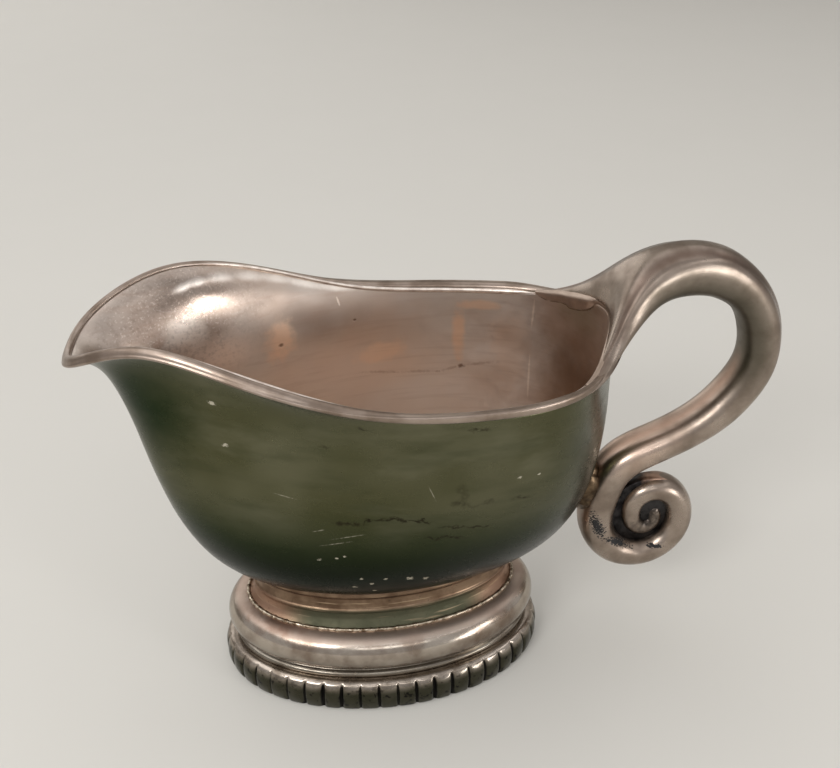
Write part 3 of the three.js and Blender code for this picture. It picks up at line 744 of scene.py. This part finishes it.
# %% The patterns of worn metal
class Finish:
    """A material being written, with the few patterns that worn metal needs."""

    def __init__(self, name):
        self.material = bpy.data.materials.new(name)
        self.material.use_nodes = True
        self.tree = self.material.node_tree
        self.tree.nodes.clear()
        self.place = self.add("TexCoord", output="Object")

    def add(self, kind, settings=None, sockets=None, output=0):
        """Any node, by its type, its settings, and the values or links of its sockets."""
        node = self.tree.nodes.new("ShaderNode" + kind)
        for key, value in (settings or {}).items():
            setattr(node, key, value)
        for key, value in (sockets or {}).items():
            if isinstance(value, Varying):
                self.tree.links.new(value.socket, node.inputs[key])
            else:
                node.inputs[key].default_value = value
        return Varying(self, node.outputs[output]) if len(node.outputs) else node

    def ramp(self, value, low, high):
        """0 below low, 1 above high and an S curve between."""
        sockets = {"Value": value, "From Min": low, "From Max": high}
        return self.add("MapRange", {"interpolation_type": "SMOOTHSTEP"}, sockets)

    def band(self, low, high, axis="Z"):
        """The ramp from low to high millimetres along an axis of the piece."""
        level = self.add("SeparateXYZ", None, {0: self.place}, axis)
        return self.ramp(level, low * MILLIMETRE, high * MILLIMETRE)

    def cloud(self, size, detail=3, stretch=(1, 1, 1), shift=0):
        """Soft noise whose blots are about size millimetres across, stretched along an axis."""
        where = {"Vector": self.place, "Scale": stretch, "Location": (shift, 0, shift)}
        sockets = {"Vector": self.add("Mapping", None, where), "Scale": 1 / (size * MILLIMETRE)}
        return self.add("TexNoise", None, sockets | {"Detail": detail, "Roughness": 0.55})

    def warped(self, size, amount):
        """The piece's own coordinates, pushed about by noise by up to this many millimetres."""
        sockets = {"Vector": self.place, "Scale": 1 / (size * MILLIMETRE), "Detail": 4.0}
        noise = self.add("TexNoise", None, sockets, "Color")
        reach = amount * MILLIMETRE
        pushes = {0: noise, 1: (2 * reach,) * 3, 2: (-reach,) * 3}
        pushed = self.add("VectorMath", {"operation": "MULTIPLY_ADD"}, pushes)
        return self.add("VectorMath", {"operation": "ADD"}, {0: self.place, 1: pushed})

    def spot(self, centre, radii, tilt, soft, edge, ragged, place=None):
        """A blot: 1 inside an ellipsoid at centre with these radii in millimetres, 0 outside.
        Its edge is pushed about by the noise called edge, by a share of the radii."""
        where = {
            "Vector": place or self.place,
            "Location": tuple(c * MILLIMETRE for c in centre),
            "Rotation": (0, np.radians(tilt), 0),
            "Scale": tuple(r * MILLIMETRE for r in radii),
        }
        inside = self.add("Mapping", {"vector_type": "TEXTURE"}, where)
        reach = self.add("VectorMath", {"operation": "LENGTH"}, {0: inside}, "Value")
        reach = reach + (edge - 0.5) * (2 * ragged)
        return 1 - self.ramp(reach, 1 - soft, 1 + soft * 0.3)

    def stroke(self, points, width, edge, ragged, soft=0.6, place=None):
        """A thin line on the skin through points in millimetres: a chain of narrow blots."""
        total = 0
        for start, end in zip(points[:-1], points[1:]):
            middle = [(p + q) / 2 for p, q in zip(start, end)]
            along, fall = end[0] - start[0], start[2] - end[2]
            radii = (np.hypot(along, fall) / 2 + 1.2 * width, 3, width)
            tilt = np.degrees(np.arctan2(fall, along))
            total = total + self.spot(middle, radii, tilt, soft, edge, ragged, place)
        return total

    def blend(self, share, under, over):
        """The colour under where share is 0 and the colour over where it is 1."""
        return self.add("Mix", {"data_type": "RGBA"}, {0: share, 6: under, 7: over}, 2)

    def paint(self, under, *layers):
        """Blends laid over one another: each layer is a share and the colour over."""
        for share, over in layers:
            under = self.blend(share, under, over)
        return under

    def mark(self, name):
        """A value that was kept per point of the piece."""
        return self.add("Attribute", {"attribute_name": name}, None, "Fac")

    def coat(self, pieces, colour, roughness, height=None, depth=0.05, metallic=1.0):
        """The shader, put on its pieces: metal of this colour and roughness, with a height that
        runs from 0 to 1 over the depth in millimetres."""
        sockets = {"Base Color": colour, "Roughness": roughness, "Metallic": metallic}
        if height is not None:
            bump_sockets = {"Height": height, "Distance": depth * MILLIMETRE, "Strength": 1.0}
            sockets["Normal"] = self.add("Bump", None, bump_sockets)
        shader = self.add("BsdfPrincipled", None, sockets)
        self.add("OutputMaterial", None, {"Surface": shader})
        for piece in pieces:
            piece.data.materials.append(self.material)


def colour(red, green, blue):
    """A colour given as it looks on a screen, from 0 to 255, made linear for the shader."""
    shares = np.array([red, green, blue]) / 255
    linear = np.where(shares > 10 / 255, ((shares + 0.055) / 1.055) ** 2.4, shares / 12.92)
    return (*linear.tolist(), 1)

# %% [markdown]
# ### Worn silver plate
#
# Silver plate that is wiped and not polished goes warm grey and a little dull. The metal below
# shows as coppery patches where hands and spoons wore it through. Dark sulphide stays in streaks
# on the flank. The olive of the outside is partly a painted reflection of a dark green surface
# below the jug, and its darkening low on the flank and under the spout is that painted reflection.
# Bump carries only what is too fine to model: wiping scratches and pin pricks.

# %% Finish of the bowl
OUTER_GREY, OUTER_OLIVE = colour(101, 100, 78), colour(79, 79, 54)
OUTER_PALE, LOW_TARNISH_AND_REFLECTION, DARKEST_GREEN_REFLECTION = colour(130, 128, 106), colour(28, 42, 18), colour(16, 36, 9)
INNER_GREY, INNER_PINK, COPPER = colour(203, 193, 184), colour(196, 176, 161), colour(228, 197, 172)
DEEP_BROWN, TARNISH, PALE = colour(140, 106, 84), colour(40, 35, 24), colour(214, 208, 190)
PAINTED_HIGHLIGHT, BLACK = colour(250, 240, 230), colour(22, 20, 20)

plate = Finish("worn_plate")
inner = plate.mark("inner")
outer = 1 - inner
large, small = plate.cloud(36, 2), plate.cloud(2.2, 4)
medium = plate.cloud(10, 4, stretch=(0.4, 0.4, 1), shift=0.3)
streaks = plate.cloud(7, 4, stretch=(0.3, 0.3, 1), shift=0.7)
wiped = plate.cloud(1.3, 3, stretch=(0.05, 0.3, 1))
edge, fine_edge, wide_edge = plate.cloud(2.4, 4), plate.cloud(0.9, 3), plate.cloud(8, 3)
# The olive ground is partly a painted reflection of a dark green surface below the jug.
outer_colour = plate.paint(
    plate.blend(plate.ramp(large, 0.35, 0.68), OUTER_GREY, OUTER_OLIVE),
    (plate.ramp(medium, 0.5, 0.75) * 0.3, OUTER_PALE),
    (plate.ramp(streaks, 0.45, 0.75) * 0.3, LOW_TARNISH_AND_REFLECTION),
    # Painted reflection of that dark green surface: darker and greener towards the bottom, darkest
    # under the spout and in a dark olive spot.
    (plate.band(73, 51) * 0.85, LOW_TARNISH_AND_REFLECTION),
    (plate.spot((-74, -12, 92), (18, 16, 24), 0, 0.9, wide_edge, 0.25) * 0.92, DARKEST_GREEN_REFLECTION),
    (plate.spot((36, -20, 76), (16, 16, 22), 0, 0.9, wide_edge, 0.2) * 0.8, colour(58, 62, 38)),
    (plate.band(60, 43) * 0.95, colour(8, 20, 4)),
)
in_spout = plate.spot((-62, 0, 100), (26, 40, 22), 0, 0.6, wide_edge, 0.15)
fine, finer = plate.cloud(1.1, 5), plate.cloud(0.6, 4, shift=0.5)
inner_colour = plate.paint(
    plate.blend(plate.ramp(large, 0.38, 0.62), INNER_GREY, INNER_PINK),
    # Painted shade: the inside of the spout is darkened to less reflected light; its fine speckle
    # below is the metal's own.
    (in_spout * 0.95, colour(160, 143, 131)),
    (plate.band(86, 74) * 0.4, colour(236, 219, 206)),
    # Painted highlights: two near-white spots in the spout, where a lamp's glint spreads on the
    # wall.
    (plate.spot((-54, 16, 88), (11, 9, 7), 0, 0.9, wide_edge, 0.2) * 0.7, colour(246, 228, 214)),
    # Painted shade: a brown patch on the far wall dulls a lamp's reflection there.
    (plate.spot((-33, 28, 93), (22, 9, 9), 8, 0.95, wide_edge, 0.2) * 0.75, colour(132, 112, 98)),
    (plate.spot((-62.5, 13.5, 95.5), (6.5, 6, 6), 0, 0.9, wide_edge, 0.3) * 0.85, PAINTED_HIGHLIGHT),
    (plate.ramp(fine, 0.46, 0.7) * in_spout * 0.35, colour(108, 92, 80)),
    (plate.ramp(finer, 0.54, 0.7) * in_spout * 0.4, colour(236, 222, 210)),
)
base = plate.blend(inner, outer_colour, inner_colour)
print("the bowl's ground is", len(plate.tree.nodes), "nodes")

# %% Copper that shows through, marks inside the bowl, and painted highlights, reflection and shade
COPPER_PATCHES = [
    ((-39.3, 24, 87), (4.6, 6, 6.8), 8, 0.9),
    ((-12, 29.6, 78.4), (8.5, 6, 3.2), -8, 0.7),
    ((10.2, 30, 82), (2.1, 6, 8.5), 0, 1.0),
    ((16, 30, 90.8), (7.5, 6, 1.5), 2, 0.8),
    ((24, 25, 78), (6, 6, 14), 0, 0.3),
]
for centre, radii, tilt, share in COPPER_PATCHES:
    patch = plate.spot(centre, radii, tilt, 0.6, wide_edge * 0.5 + edge * 0.5, 0.8)
    base = plate.blend(patch * inner * share, base, COPPER)
WATER_LINE = [
    (-16.7, 28.5, 73.1), (-6.7, 29.4, 71.7), (4.7, 29.2, 71.2), (10.7, 28.7, 72.7),
    (21.4, 26.1, 74.5),
]
# Painted highlights: pale lines on the far wall, where a lamp would glint on the curve of the back.
PAINTED_HIGHLIGHT_LINES = [
    [(30, 24.3, 94.3), (29.4, 23.5, 86.2)],
    [(29.2, 22.6, 79.8), (28.6, 19.9, 64.4)],
    [(-23.3, 30.8, 95.6), (-22.7, 30.3, 93.6)],
]
PITS = [((-39.2, 23.4, 86.3), 0.55), ((-18.8, 30.1, 88.9), 0.4), ((10.7, 28.7, 72.7), 0.7)]
# Painted highlight: a pale stroke along the wall just under the far rim.
UNDER_RIM_HIGHLIGHT = [
    (-63.4, 16.6, 107.3), (-60.5, 18.5, 107.9), (-56.5, 21.2, 108), (-49.2, 25.2, 106.5),
    (-42.5, 28.1, 104.5), (-35.3, 30.1, 101.9), (-27.5, 31.2, 99.1), (-19, 32.2, 97.3),
]
pits = 0
for centre, radius in PITS:
    pits = pits + plate.spot(centre, (radius * 1.5, 2, radius), 0, 0.7, fine_edge, 0.5) * inner
painted_highlight_lines = [plate.stroke(line, 0.3, fine_edge, 0.5) * inner * 0.6 for line in PAINTED_HIGHLIGHT_LINES]
deep = [(turn, depth + 0.12) for turn, depth in LAP_DEPTHS if depth > 0.8]
seam_turns, seam_depths = np.array(deep).T
seam_line = (on_wall(seam_turns, seam_depths, 0 * seam_turns) + [MIDDLE_X, 0, 0]).tolist()
# Painted reflection: a brown patch low at the back inside, where the wall mirrors darker things.
back_brown_reflection = plate.spot((37, 10, 76), (10, 20, 19), 0, 0.9, wide_edge, 0.3)
back_olive = plate.spot((38, 11, 97), (8, 12, 7), 0, 0.9, wide_edge, 0.2)
smear = plate.spot((-68.5, 10.3, 96.3), (3.2, 4, 1.5), -35, 0.9, edge, 0.6)
base = plate.paint(
    base,
    (back_brown_reflection * inner * 0.9, colour(122, 95, 72)),
    (back_olive * inner * 0.6, colour(150, 140, 116)),
    (plate.stroke(WATER_LINE, 0.5, fine_edge, 0.9, 0.9) * inner * 0.35, DEEP_BROWN),
    *((share, colour(250, 236, 220)) for share in painted_highlight_lines),
    (pits * 0.75, colour(96, 66, 46)),
    (smear * inner * 0.3, DEEP_BROWN),
    (plate.ramp(wiped, 0.48, 0.7) * inner * 0.12, DEEP_BROWN),
    (plate.stroke(UNDER_RIM_HIGHLIGHT, 1.1, edge, 0.25, 0.9) * inner * 0.75, PAINTED_HIGHLIGHT),
    (plate.stroke(seam_line, 0.2, fine_edge, 0.5) * inner * 0.6, colour(96, 76, 62)),
)
print("inside:", len(COPPER_PATCHES), "patches and", len(PAINTED_HIGHLIGHT_LINES), "bright lines")

# %% Stains, scratches and dings outside the bowl
# Points of each stain, its width in millimetres and its share.
STAINS = [
    ([(-29.4, -26.7, 64.9), (-22, -28.3, 64.1), (-20.1, -28.8, 66.2), (-10.3, -30.1, 66),
      (-6, -30.1, 65)], 0.55, 0.85),
    ([(-4.3, -29.9, 62.8), (4.4, -29.2, 61.5), (8.1, -28.7, 61.6)], 0.4, 0.7),
    ([(-7.3, -29.2, 59.2), (-4.2, -29.3, 59.2), (1.3, -28.8, 58.2)], 0.55, 0.8),
    ([(0.4, -32.1, 78), (1.1, -30.5, 68)], 1.1, 0.3),
    ([(-2.1, -30.9, 70.2), (4, -30.5, 69), (9, -30, 69.6)], 1.0, 0.45),
    ([(13.9, -29, 69.1), (17.3, -28, 68.6)], 1.0, 0.7),
    ([(1.2, -34, 93), (6.2, -33.5, 92)], 0.8, 0.75),
    ([(-22.8, -32.1, 94.6), (-20.7, -32.5, 94.1)], 0.5, 0.7),
    ([(-31.3, -28.1, 87.9), (-28.6, -29, 87.7)], 0.45, 0.45),
]
wandering, broken = plate.warped(3, 2.2), plate.ramp(plate.cloud(0.8, 4), 0.3, 0.5)
for line, width, share in STAINS:
    stain = plate.stroke(line, width, edge, 1.0, 0.9, wandering) * broken
    base = plate.blend(stain * outer * share, base, TARNISH)
SCRATCHES = [
    [(-34.3, -25.1, 61.2), (-31.4, -26, 62.2)],
    [(-30.4, -26, 59), (-22.1, -28, 61.2)],
    [(-32.9, -25.1, 56.7), (-25.2, -27.1, 58.7)],
    [(-6.9, -31.4, 76), (-5.4, -31.1, 72)],
    [(-42.8, -22.7, 72), (-38, -24, 71)],
]
scratches = 0
for line in SCRATCHES:
    scratches = scratches + plate.stroke(line, 0.17, fine_edge, 0.9, 0.9) * broken * outer
# Middle and radius of each ding.
DINGS = [
    ((-54.6, -18.8, 95.6), 0.75), ((-53, -18.6, 83.8), 0.6), ((-33.2, -24.4, 51.7), 0.5),
    ((-29, -25.5, 52.6), 0.4), ((-27.1, -26.1, 53.4), 0.35), ((-24.9, -23.6, 41), 0.5),
    ((-23.1, -25, 44.8), 0.4), ((-20.5, -24.4, 42.4), 0.55), ((-19.8, -23, 38.9), 0.45),
    ((-17.2, -25.6, 44.5), 0.5), ((-11.1, -25.7, 44.2), 0.8), ((-7, -25.4, 43.4), 0.6),
    ((14.6, -30, 75.9), 0.5), ((19.7, -28.5, 75.4), 0.4),
]
dings, speck_edge = 0, plate.cloud(0.5, 3)
for centre, radius in DINGS:
    radii = (radius * 1.2, 2, radius * 0.8)
    dings = dings + plate.spot(centre, radii, 0, 0.5, speck_edge, 1.5) * outer
base = plate.blend(dings * 0.75 + scratches * 0.4, base, PALE)
polished = plate.spot((-60, 17, 103), (13, 16, 13), 0, 0.7, medium, 0.3)
roughness = 0.22 + 0.12 * plate.ramp(medium, 0.35, 0.75) + 0.05 * plate.ramp(small, 0.4, 0.8)
roughness = roughness + inner * (0.14 - 0.17 * polished)
height = wiped * 0.03 + large * 0.1 - dings * 0.4 - pits * 0.4
plate.coat([bowl], base, roughness, height, 0.12)
print("outside:", len(STAINS), "stains,", len(SCRATCHES), "scratches and", len(DINGS), "dings")

# %% [markdown]
# ### Cast and drawn pieces
#
# The wire, the rings and the handle keep more of their shine than the bowl, because they are
# thick and are wiped along their length. Dirt stays in the seams and in the scroll.

# %% Finish of the wire, the lap and the solder
RIM_GREY, RIM_DARK, HANDLE_GREY = colour(170, 154, 142), colour(128, 112, 99), colour(166, 152, 140)


def plain_plate(name, light, dark, shine, spread):
    """Two tones of plate in soft clouds, with fine wiping marks."""
    finish = Finish(name)
    clouds, specks = finish.cloud(spread, 4), finish.cloud(1.4, 4)
    tone = finish.blend(finish.ramp(clouds, 0.35, 0.7), light, dark)
    rough = shine + 0.1 * finish.ramp(clouds, 0.4, 0.75) + 0.08 * finish.ramp(specks, 0.45, 0.8)
    grain = finish.cloud(0.9, 3, stretch=(0.3, 0.3, 1))
    return finish, tone, rough, grain * 0.04 - finish.ramp(specks, 0.64, 0.78) * 0.08


# Light and dark tone, roughness, millimetres between clouds, and depth of the bump.
PLAIN = {
    "rim_plate": (RIM_GREY, RIM_DARK, 0.3, 9, 0.1, rim_wire),
    # The fillet's near-white tone is a painted highlight.
    "fillet_solder_painted_highlight": (colour(246, 236, 226), colour(206, 190, 178), 0.4, 4, 0.06, fillet),
    # The lap's pale tone is a painted reflection of the bright room above it.
    "lap_plate_painted_reflection": (colour(188, 170, 156), colour(158, 140, 126), 0.38, 9, 0.08, lap),
    "seam_plate": (colour(206, 192, 172), colour(96, 78, 60), 0.3, 1.3, 0.15, seam),
    "hard_solder": (colour(112, 94, 74), colour(62, 50, 38), 0.3, 3, 0.25, pad),
}
for name, (light, dark, shine, spread, depth, piece) in PLAIN.items():
    finish, tone, rough, height = plain_plate(name, light, dark, shine, spread)
    finish.coat([piece], tone, rough, height, depth)
print(len(PLAIN), "plain finishes")

# %% Finish of the handle and its scroll
handle_dark = colour(132, 118, 106)
finish, tone, rough, height = plain_plate("handle_plate", HANDLE_GREY, handle_dark, 0.27, 9)
in_loop_reflection, in_crease, in_channel = [finish.mark(name) for name in ("loop_inside_reflection", "top", "channel")]
worn_pink = finish.spot((54, -3, 63), (14, 8, 7), -35, 0.8, finish.cloud(4, 3), 0.3)
groove_middle = (scroll_x + MIDDLE_X - 2.2, 0, scroll_z - 2.4)
groove_radii = (0.76 * SCROLL_RADIUS, 3.6, 0.76 * SCROLL_RADIUS)
grime = finish.spot(groove_middle, groove_radii, 0, 0.3, finish.cloud(1.6, 4), 0.25)
RESIDUE = [
    ((43.6, -6.5, 38.5), (1.3, 4, 4.2), -25),
    ((50, -5, 31.4), (4.4, 4, 0.9), 32),
    ((61.6, -4.8, 28.4), (1.9, 2.5, 0.6), 0),
]
flaked = finish.cloud(0.6, 4, stretch=(1, 1, 1.6))
blots = [finish.spot(*place, 0.15, flaked, 2.2) for place in RESIDUE]
crust = blots[0] + blots[1] + blots[2]
tone = finish.paint(
    tone,
    # Painted reflection: dark olive on the inner face of the loop.
    (in_loop_reflection * 0.75, colour(74, 72, 60)),
    (worn_pink * 0.45, colour(236, 206, 186)),
    (in_crease * 0.65, colour(98, 78, 68)),
    (in_channel * 0.5, colour(228, 190, 168)),
    (grime * 0.85, BLACK),
    *((blot, BLACK) for blot in blots),
)
rough = rough + crust * 0.4 + in_loop_reflection * 0.1 + in_channel * 0.25
cast = [handle, scroll_eye, under_root]
finish.coat(cast, tone, rough, height + crust * 0.5, 0.12, metallic=1 - crust)

finish, tone, rough, height = plain_plate("web_plate", colour(60, 58, 58), BLACK, 0.35, 3)
outer_side = (scroll_x + MIDDLE_X + 6, 0, scroll_z + 10)
clean_side = finish.spot(outer_side, (10, 6, 5.5), 30, 0.5, finish.cloud(2, 3), 0.3)
tone = finish.blend(clean_side, tone, colour(172, 142, 124))
finish.coat([web], tone, rough, height, 0.1)
print(len(RESIDUE), "blots of residue in the scroll")

# %% Finish of the foot
light, dark = colour(180, 170, 158), RIM_DARK
finish, tone, rough, height = plain_plate("moulding_plate", light, dark, 0.17, 9)
crown = finish.band(MOULDING_FOOT + 10.6, MOULDING_FOOT + 12.3)
stained = finish.spot((-44, -10, 24), (12, 14, 5), 0, 0.9, finish.cloud(3, 4), 0.8)
tone = finish.paint(
    tone,
    # Painted reflection: the lower half of the moulding is darker, as if mirroring a dark surface.
    (finish.band(MOULDING_FOOT + 7.5, MOULDING_FOOT + 3.5) * 0.6, colour(92, 88, 78)),
    (crown * 0.7, colour(190, 168, 154)),
    (stained * 0.75, colour(138, 106, 88)),
)
finish.coat([moulding], tone, rough + 0.25 * crown, height, 0.08)

brown, dark_brown = colour(134, 112, 92), colour(96, 76, 60)
finish, tone, rough, height = plain_plate("collar_plate", brown, dark_brown, 0.3, 6)
along = finish.add("SeparateXYZ", None, {0: finish.place}, "X")
along = along - (MIDDLE_X - FOOT_SHIFT) * MILLIMETRE
from_middle = finish.add("Math", {"operation": "ABSOLUTE"}, {0: along})
ends = finish.ramp(from_middle, 19 * MILLIMETRE, 31 * MILLIMETRE)
hollow = finish.band(COLLAR_FOOT + 5.2, COLLAR_FOOT + 4.2)
# Painted reflection: the dull grey-green band in the hollow mirrors the moulding, and turns pinkish
# brown at the ends.
grey_reflection_band = hollow * (1 - ends)
drawn_lines = finish.ramp(finish.cloud(0.55, 3, stretch=(0.04, 0.04, 1)), 0.58, 0.72)
tone = finish.paint(
    tone,
    (hollow * ends * 0.6, colour(172, 136, 114)),
    (grey_reflection_band * 0.9, colour(84, 86, 69)),
    (finish.ramp(finish.cloud(0.8, 4), 0.6, 0.72) * 0.45, colour(58, 54, 42)),
    (drawn_lines * 0.5, colour(206, 182, 150)),
)
finish.coat([collar], tone, rough + 0.25 * grey_reflection_band, height, 0.1)

light, dark = colour(184, 172, 160), colour(126, 114, 102)
finish, tone, rough, height = plain_plate("border_plate", light, dark, 0.2, 5)
dirt = finish.ramp(finish.mark("notch") + (finish.cloud(2, 4) - 0.5) * 0.5, 0.25, 0.75)
near_floor = finish.band(9.4, 5.8)
tone = finish.paint(
    tone,
    (near_floor * 0.92, colour(50, 52, 38)),
    (near_floor * finish.ramp(finish.cloud(1.6, 4), 0.56, 0.66) * 0.9, BLACK),
    (dirt * 0.93, BLACK),
)
finish.coat([border], tone, rough + dirt * 0.3, height, 0.12)
print("finishes in all:", len(bpy.data.materials))

# %% [markdown]
# ## The studio
#
# The floor runs back and rises in one sweep to a pale wall. Large soft lamps stand where the
# bright streaks on the moulding, the spout and the handle say that the room's lamps were.

# %% Floor
REACH, BEND_Y, BEND_RADIUS, TOP, ACROSS = 30, 1.2, 0.6, 2.6, 13
flat_y, bend = np.linspace(-REACH, BEND_Y, 40), np.linspace(0, np.pi / 2, 24)[1:]
profile_y = np.concatenate([flat_y, BEND_Y + BEND_RADIUS * np.sin(bend), [BEND_Y + BEND_RADIUS]])
profile_z = np.concatenate([0 * flat_y, BEND_RADIUS * (1 - np.cos(bend)), [TOP]])
x, row = np.meshgrid(np.linspace(-REACH, REACH, ACROSS), np.arange(len(profile_y)))
points = np.stack([x, profile_y[row], profile_z[row]], -1).reshape(-1, 3)
i, j = np.meshgrid(np.arange(len(profile_y) - 1), np.arange(ACROSS - 1), indexing="ij")
corner = i * ACROSS + j
sheet_faces = np.stack([corner, corner + 1, corner + ACROSS + 1, corner + ACROSS], -1)
sweep_mesh = bpy.data.meshes.new("sweep")
sweep_mesh.from_pydata(points.tolist(), [], sheet_faces.reshape(-1, 4).tolist())
sweep_mesh.polygons.foreach_set("use_smooth", np.ones(len(sweep_mesh.polygons), bool))
sweep = bpy.data.objects.new("sweep", sweep_mesh)
bpy.context.scene.collection.objects.link(sweep)
print("the sweep is", 2 * REACH, "m wide")
paper = Finish("paper")
paper_tone = paper.blend(paper.cloud(60, 2) * 0.2, colour(214, 211, 204), colour(204, 201, 194))
paper.coat([sweep], paper_tone, 0.8, metallic=0.0)

# %% Lamps and world
JUG_MIDDLE = Vector((-0.02, 0, 0.06))


def softbox(name, azimuth, elevation, distance, width, height, power, lean=0):
    """A soft lamp aimed at the jug and leaned over by some degrees. Azimuth 0 is the camera's."""
    a, e = np.radians([azimuth, elevation])
    toward = Vector((np.sin(a) * np.cos(e), -np.cos(a) * np.cos(e), np.sin(e)))
    lamp = bpy.data.lights.new(name, "AREA")
    lamp.shape, lamp.size, lamp.size_y, lamp.energy = "RECTANGLE", width, height, power
    stand = bpy.data.objects.new(name, lamp)
    aimed = toward.to_track_quat("Z", "Y").to_matrix().to_4x4()
    leaned = aimed @ Matrix.Rotation(np.radians(lean), 4, "Z")
    stand.matrix_world = Matrix.Translation(JUG_MIDDLE + toward * distance) @ leaned
    bpy.context.scene.collection.objects.link(stand)


# Azimuth, elevation, distance, width, height and power in watts, and a lean.
LAMPS = {
    "window_left": (-38, 37, 0.9, 0.34, 0.2, 2.6),
    "window_right": (46, 6, 0.9, 0.14, 0.46, 2.1, -40),
    "lamp_front": (4, 32, 1.0, 0.5, 0.14, 0.6),
    "lamp_high": (0, 54, 1.0, 0.5, 0.16, 0.35),
    "lamp_right": (70, 44, 1.0, 0.95, 0.1, 0.5),
    "wall_left": (-85, 52, 1.1, 0.8, 0.6, 2.2),
    "wall_back": (-150, 20, 1.3, 1.3, 0.7, 2.4),
    "lamp_over": (160, 66, 1.2, 1.4, 1.0, 1.9),
}
for name, numbers in LAMPS.items():
    softbox(name, *numbers)
print(len(LAMPS), "lamps")
world = bpy.data.worlds.new("room")
bpy.context.scene.world = world
world.use_nodes = True
background = world.node_tree.nodes["Background"].inputs
background["Color"].default_value = (0.62, 0.61, 0.61, 1)
background["Strength"].default_value = 0.9
bpy.context.scene.view_settings.view_transform = "Standard"
